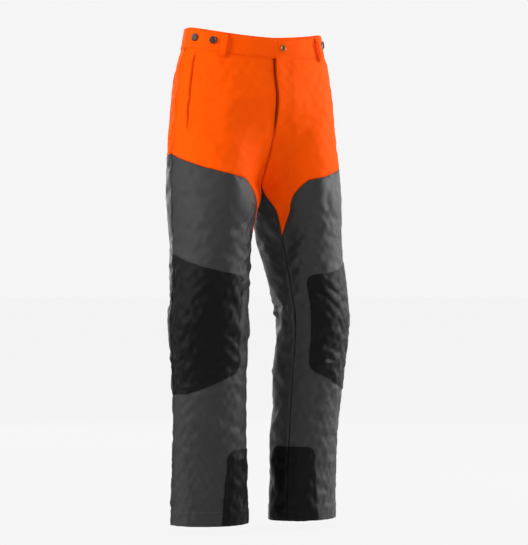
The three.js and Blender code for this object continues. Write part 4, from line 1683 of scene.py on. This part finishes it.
@dataclass
class Fastenings:
    """The brace buttons, the waist button, the fly and its zip."""

    shop: Workshop
    stitching: Stitching

    BRACE_PLACES = (("inner", 0.3), ("side", 0.417), ("back", 0.93))
    BRACE_BELOW_RIM = 0.021
    BUTTON_OFFSET = 1.9 * MM
    FLY_OFFSET = 1.5 * MM
    ZIP_ORIGIN = Vector((0, -0.097, -0.072))
    ZIP_LEAN = 0.085
    TOOTH_SIZE = Vector((1.25, 2.3, 1.35)) * MM
    TOOTH_PITCH, TOOTH_FIRST, TOOTH_RUN, TOOTH_ASIDE = 1.1, 3.4, 136, 1.925

    def build(self) -> None:
        """Makes them all."""
        for side in Side:
            for place, r in self.BRACE_PLACES:
                name = f"brace_button_{place}_{side.value}"
                self._button(name, BRACE_BUTTON, Finish.BUTTON, "brown_button", side, r, self.BRACE_BELOW_RIM)
        self._button("waist_button", WAIST_BUTTON, Finish.BRASS, "brass", Side.LEFT, 0.02, BAND_HEIGHT / 2)
        self._fly()
        self._zip()

    def _button(
        self, name: str, profile: TurnedProfile, finish: Finish, slot: str, side: Side, r: float, below: float
    ) -> None:
        """Stands a button on the waistband."""
        depth = float(rim_depth(np.array(r))) - below
        points, normals = self.shop.garment.sample(
            side, np.array([r]), np.array([depth]), np.array([self.BUTTON_OFFSET]), True
        )
        mesh = profile.mesh(name)
        turn = Vector((0, 0, 1)).rotation_difference(Vector(normals[0])).to_matrix().to_4x4()
        mesh.transform(Matrix.Translation(Vector(points[0])) @ turn)
        self.shop.finish(as_object(f"{name}_turned", mesh), finish, HIPS, slot, (name,))

    def _fly(self) -> None:
        """The folded edge of the left front, stitched down in a J."""
        def stand(place: Array) -> Array:
            end = smooth((place[1] - FLY_BOTTOM) / 0.03)
            edge = smooth((place[0] + fly_edge(place[1])) / 0.004)
            return end * lerp(0.0026, 0.0004, smooth((place[0] + 0.006) / 0.045)) - 0.0006 * (1 - edge)

        def inside(place: Array) -> Array:
            low = FLY_BOTTOM + 0.030 * smooth((place[0] - 0.012) / 0.055) ** 1.6
            return np.minimum(place[1] - low, (place[0] + fly_edge(place[1])) * 0.5)

        piece = self.shop.cut(
            "fly_fold", Side.LEFT, (-0.012, 0.066), (lambda r: band_depth(np.abs(r)) + 0.006, FLY_BOTTOM),
            keep=inside, offset=self.FLY_OFFSET, thickness=1.5 * MM, lift=stand, coarse=0.5, plain=True,
        )
        self.shop.finish(piece, Finish.ORANGE, hip_travel(Side.LEFT), "orange_fabric", ("fly_overlap",))
        as_sheet(piece)
        run = [(0.060, d) for d in np.linspace(-0.069, -0.180, 30)]
        for t in np.linspace(0, 1, 14):
            run.append((0.060 - 0.060 * t**1.4, -0.180 - 0.038 * math.sin(t * math.pi / 2)))
        for shift in (0.0, -0.006):
            row = [(max(-0.008, r + shift), d + shift * 0.3 * (d < -0.18)) for r, d in run]
            self.stitching.sew(Side.LEFT, Finish.ORANGE_THREAD, "fly", np.array(row), self.FLY_OFFSET, stand)

    def _zip(self) -> None:
        """The chain's teeth, the tapes and the shield behind the fly, in the zip's leaning frame."""
        place = Matrix.Translation(self.ZIP_ORIGIN) @ Matrix.Rotation(self.ZIP_LEAN, 4, "X")

        def block(name: str, low: tuple[float, ...], high: tuple[float, ...], cuts: int) -> bpy.types.Object:
            bm = bmesh.new()
            bmesh.ops.create_cube(bm, size=1.0)
            size = [(b - a) * MM for a, b in zip(low, high)]
            middle = [(a + b) / 2 * MM for a, b in zip(low, high)]
            bmesh.ops.scale(bm, vec=size, verts=bm.verts)
            bmesh.ops.translate(bm, vec=middle, verts=bm.verts)
            if cuts:
                bmesh.ops.subdivide_edges(bm, edges=bm.edges, cuts=cuts, use_grid_fill=True)
            layer = bm.loops.layers.uv.new("UVMap")
            for face in bm.faces:
                for loop in face.loops:
                    loop[layer].uv = (loop.vert.co.x, loop.vert.co.z)
            mesh = as_mesh(bm, name)
            mesh.transform(place)
            return as_object(f"{name}_woven", mesh)

        for side, low, high in (
            (Side.RIGHT, (-15.9, -0.5, -146), (-2.9, 0.5, 0)),
            (Side.LEFT, (2.9, -0.5, -146), (15.9, 0.5, 0)),
        ):
            name = f"zip_tape_{side.value}"
            tape = block(name, low, high, 6)
            self.shop.soften(tape, 0.3 * MM)
            self.shop.finish(tape, Finish.ORANGE, HIPS, "zip_tape", (name,))
        shield = block("fly_shield", (-24, 7, -148), (16, 9, 0), 6)
        self.shop.soften(shield, 0.6 * MM)
        self.shop.finish(shield, Finish.LINING, HIPS, "lining", ("fly_shield",))
        self._teeth(place)
        for node in ("zip_slider", "zip_pull"):
            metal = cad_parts[node]
            metal.data.materials.clear()
            metal.data.materials.append(self.shop.wardrobe.material(Finish.BRASS))

    def _teeth(self, place: Matrix) -> None:
        """Teeth from both sides in turn, with room between them for the slider's nose."""
        bm = bmesh.new()
        for k in range(int(self.TOOTH_RUN / self.TOOTH_PITCH)):
            tooth = bmesh.ops.create_cube(bm, size=1.0)["verts"]
            aside = self.TOOTH_ASIDE if k % 2 else -self.TOOTH_ASIDE
            bmesh.ops.scale(bm, vec=self.TOOTH_SIZE, verts=tooth)
            down = self.TOOTH_FIRST + k * self.TOOTH_PITCH
            bmesh.ops.translate(bm, vec=(aside * MM, 0, -down * MM), verts=tooth)
        bmesh.ops.bevel(
            bm, geom=bm.edges, offset=0.25 * MM, offset_type="OFFSET", affect="EDGES", segments=1,
            profile=0.5, material=-1,
        )
        mesh = as_mesh(bm, "zip_chain")
        mesh.transform(place)
        self.shop.finish(as_object("zip_chain_teeth", mesh), Finish.BRASS, HIPS, "brass", ("zip_chain",))


# ---- Studio -------------------------------------------------------------------------------


class Studio:
    """The camera, the floor and the lights."""

    TARGET = Vector((0.0, 0.0, -0.528))
    DISTANCE = 4.8
    AZIMUTH = math.radians(-30)
    VIEW_HEIGHT = 1.195
    SENSOR = 24.0
    SIDEWAYS = 0.0237
    AFT = (0.5, 0.866, 0.0)
    SURROUND_DARK, SURROUND_PALE = 0.12, 0.915

    def build(self) -> None:
        """Makes the camera, the floor and the lights."""
        self._camera()
        self._floor()
        self._lights()

    def _camera(self) -> None:
        """A long lens at the middle of the garment's height."""
        data = bpy.data.cameras.new("camera")
        data.sensor_fit = "VERTICAL"
        data.sensor_height = self.SENSOR
        data.lens = self.SENSOR * self.DISTANCE / self.VIEW_HEIGHT
        data.clip_end = 50
        camera = as_object("camera", data)
        a = self.AZIMUTH
        right = Vector((math.cos(a), math.sin(a), 0))
        back = Vector((math.sin(a), -math.cos(a), 0))
        camera.location = self.TARGET + right * self.SIDEWAYS + back * self.DISTANCE
        camera.rotation_euler = (math.pi / 2, 0, a)
        bpy.context.scene.camera = camera

    @staticmethod
    def _floor() -> None:
        """A pale floor just under the hems."""
        bm = bmesh.new()
        bmesh.ops.create_grid(bm, x_segments=1, y_segments=1, size=60)
        bmesh.ops.translate(bm, verts=bm.verts, vec=(0, 0, HEM - 0.02))
        mesh = as_mesh(bm, "floor")
        material = bpy.data.materials.new("floor")
        material.use_nodes = True
        shader = material.node_tree.nodes["Principled BSDF"]
        shader.inputs["Base Color"].default_value = (0.02, 0.02, 0.02, 1)
        shader.inputs["Roughness"].default_value = 0.9
        shader.inputs["Specular IOR Level"].default_value = 0.0
        shader.inputs["Emission Color"].default_value = (1, 1, 1, 1)
        shader.inputs["Emission Strength"].default_value = 0.89
        mesh.materials.append(material)
        as_object("floor", mesh)

    def _lights(self) -> None:
        """Large soft lights on both sides and a pale surround."""
        for name, place, size, power in (
            ("key", (-3.6, 0.1, 0.9), 1.5, 128),
            ("front", (-0.6, -3.6, 1.3), 1.2, 35),
            ("fill", (3.2, -0.6, 0.4), 1.3, 116),
            ("top", (0.0, -0.3, 2.6), 1.6, 40),
            ("rim", (0.8, 3.0, 0.6), 2.2, 60),
        ):
            data = bpy.data.lights.new(name, "AREA")
            data.size = size
            data.energy = power
            light = as_object(name, data)
            light.location = place
            aim = Vector((0, 0, -0.5)) - Vector(place)
            light.rotation_euler = aim.to_track_quat("-Z", "Y").to_euler()
        world = bpy.data.worlds.new("surround")
        world.use_nodes = True
        background = world.node_tree.nodes["Background"]
        sheet = NodeSheet(world.node_tree)
        way = sheet.add("TexCoord").outputs["Generated"]
        aft = sheet.add("VectorMath", {"operation": "DOT_PRODUCT"}, _0=way, _1=self.AFT).outputs["Value"]
        bright = sheet.add(
            "MapRange", _0=aft, _1=-0.1, _2=0.75, _3=self.SURROUND_DARK, _4=self.SURROUND_PALE
        ).outputs[0]
        seen = sheet.math("MULTIPLY", sheet.add("LightPath").outputs["Is Camera Ray"], self.SURROUND_PALE)
        world.node_tree.links.new(sheet.math("MAXIMUM", bright, seen), background.inputs[0])
        background.inputs[1].default_value = 1.0
        bpy.context.scene.view_settings.view_transform = "Standard"
        bpy.context.scene.world = world


def main() -> None:
    """Builds everything in order."""
    logging.basicConfig(level=logging.INFO, format="%(name)s: %(message)s")
    Studio().build()
    garment = Garment()
    garment.build()
    shop = Workshop(garment, Wardrobe())
    stitching = Stitching(shop)
    for side in Side:
        LegPanels(shop, stitching, side).build()
    Waist(shop, stitching).build()
    Fastenings(shop, stitching).build()
    stitching.build()


if __name__ == "__main__":
    main()
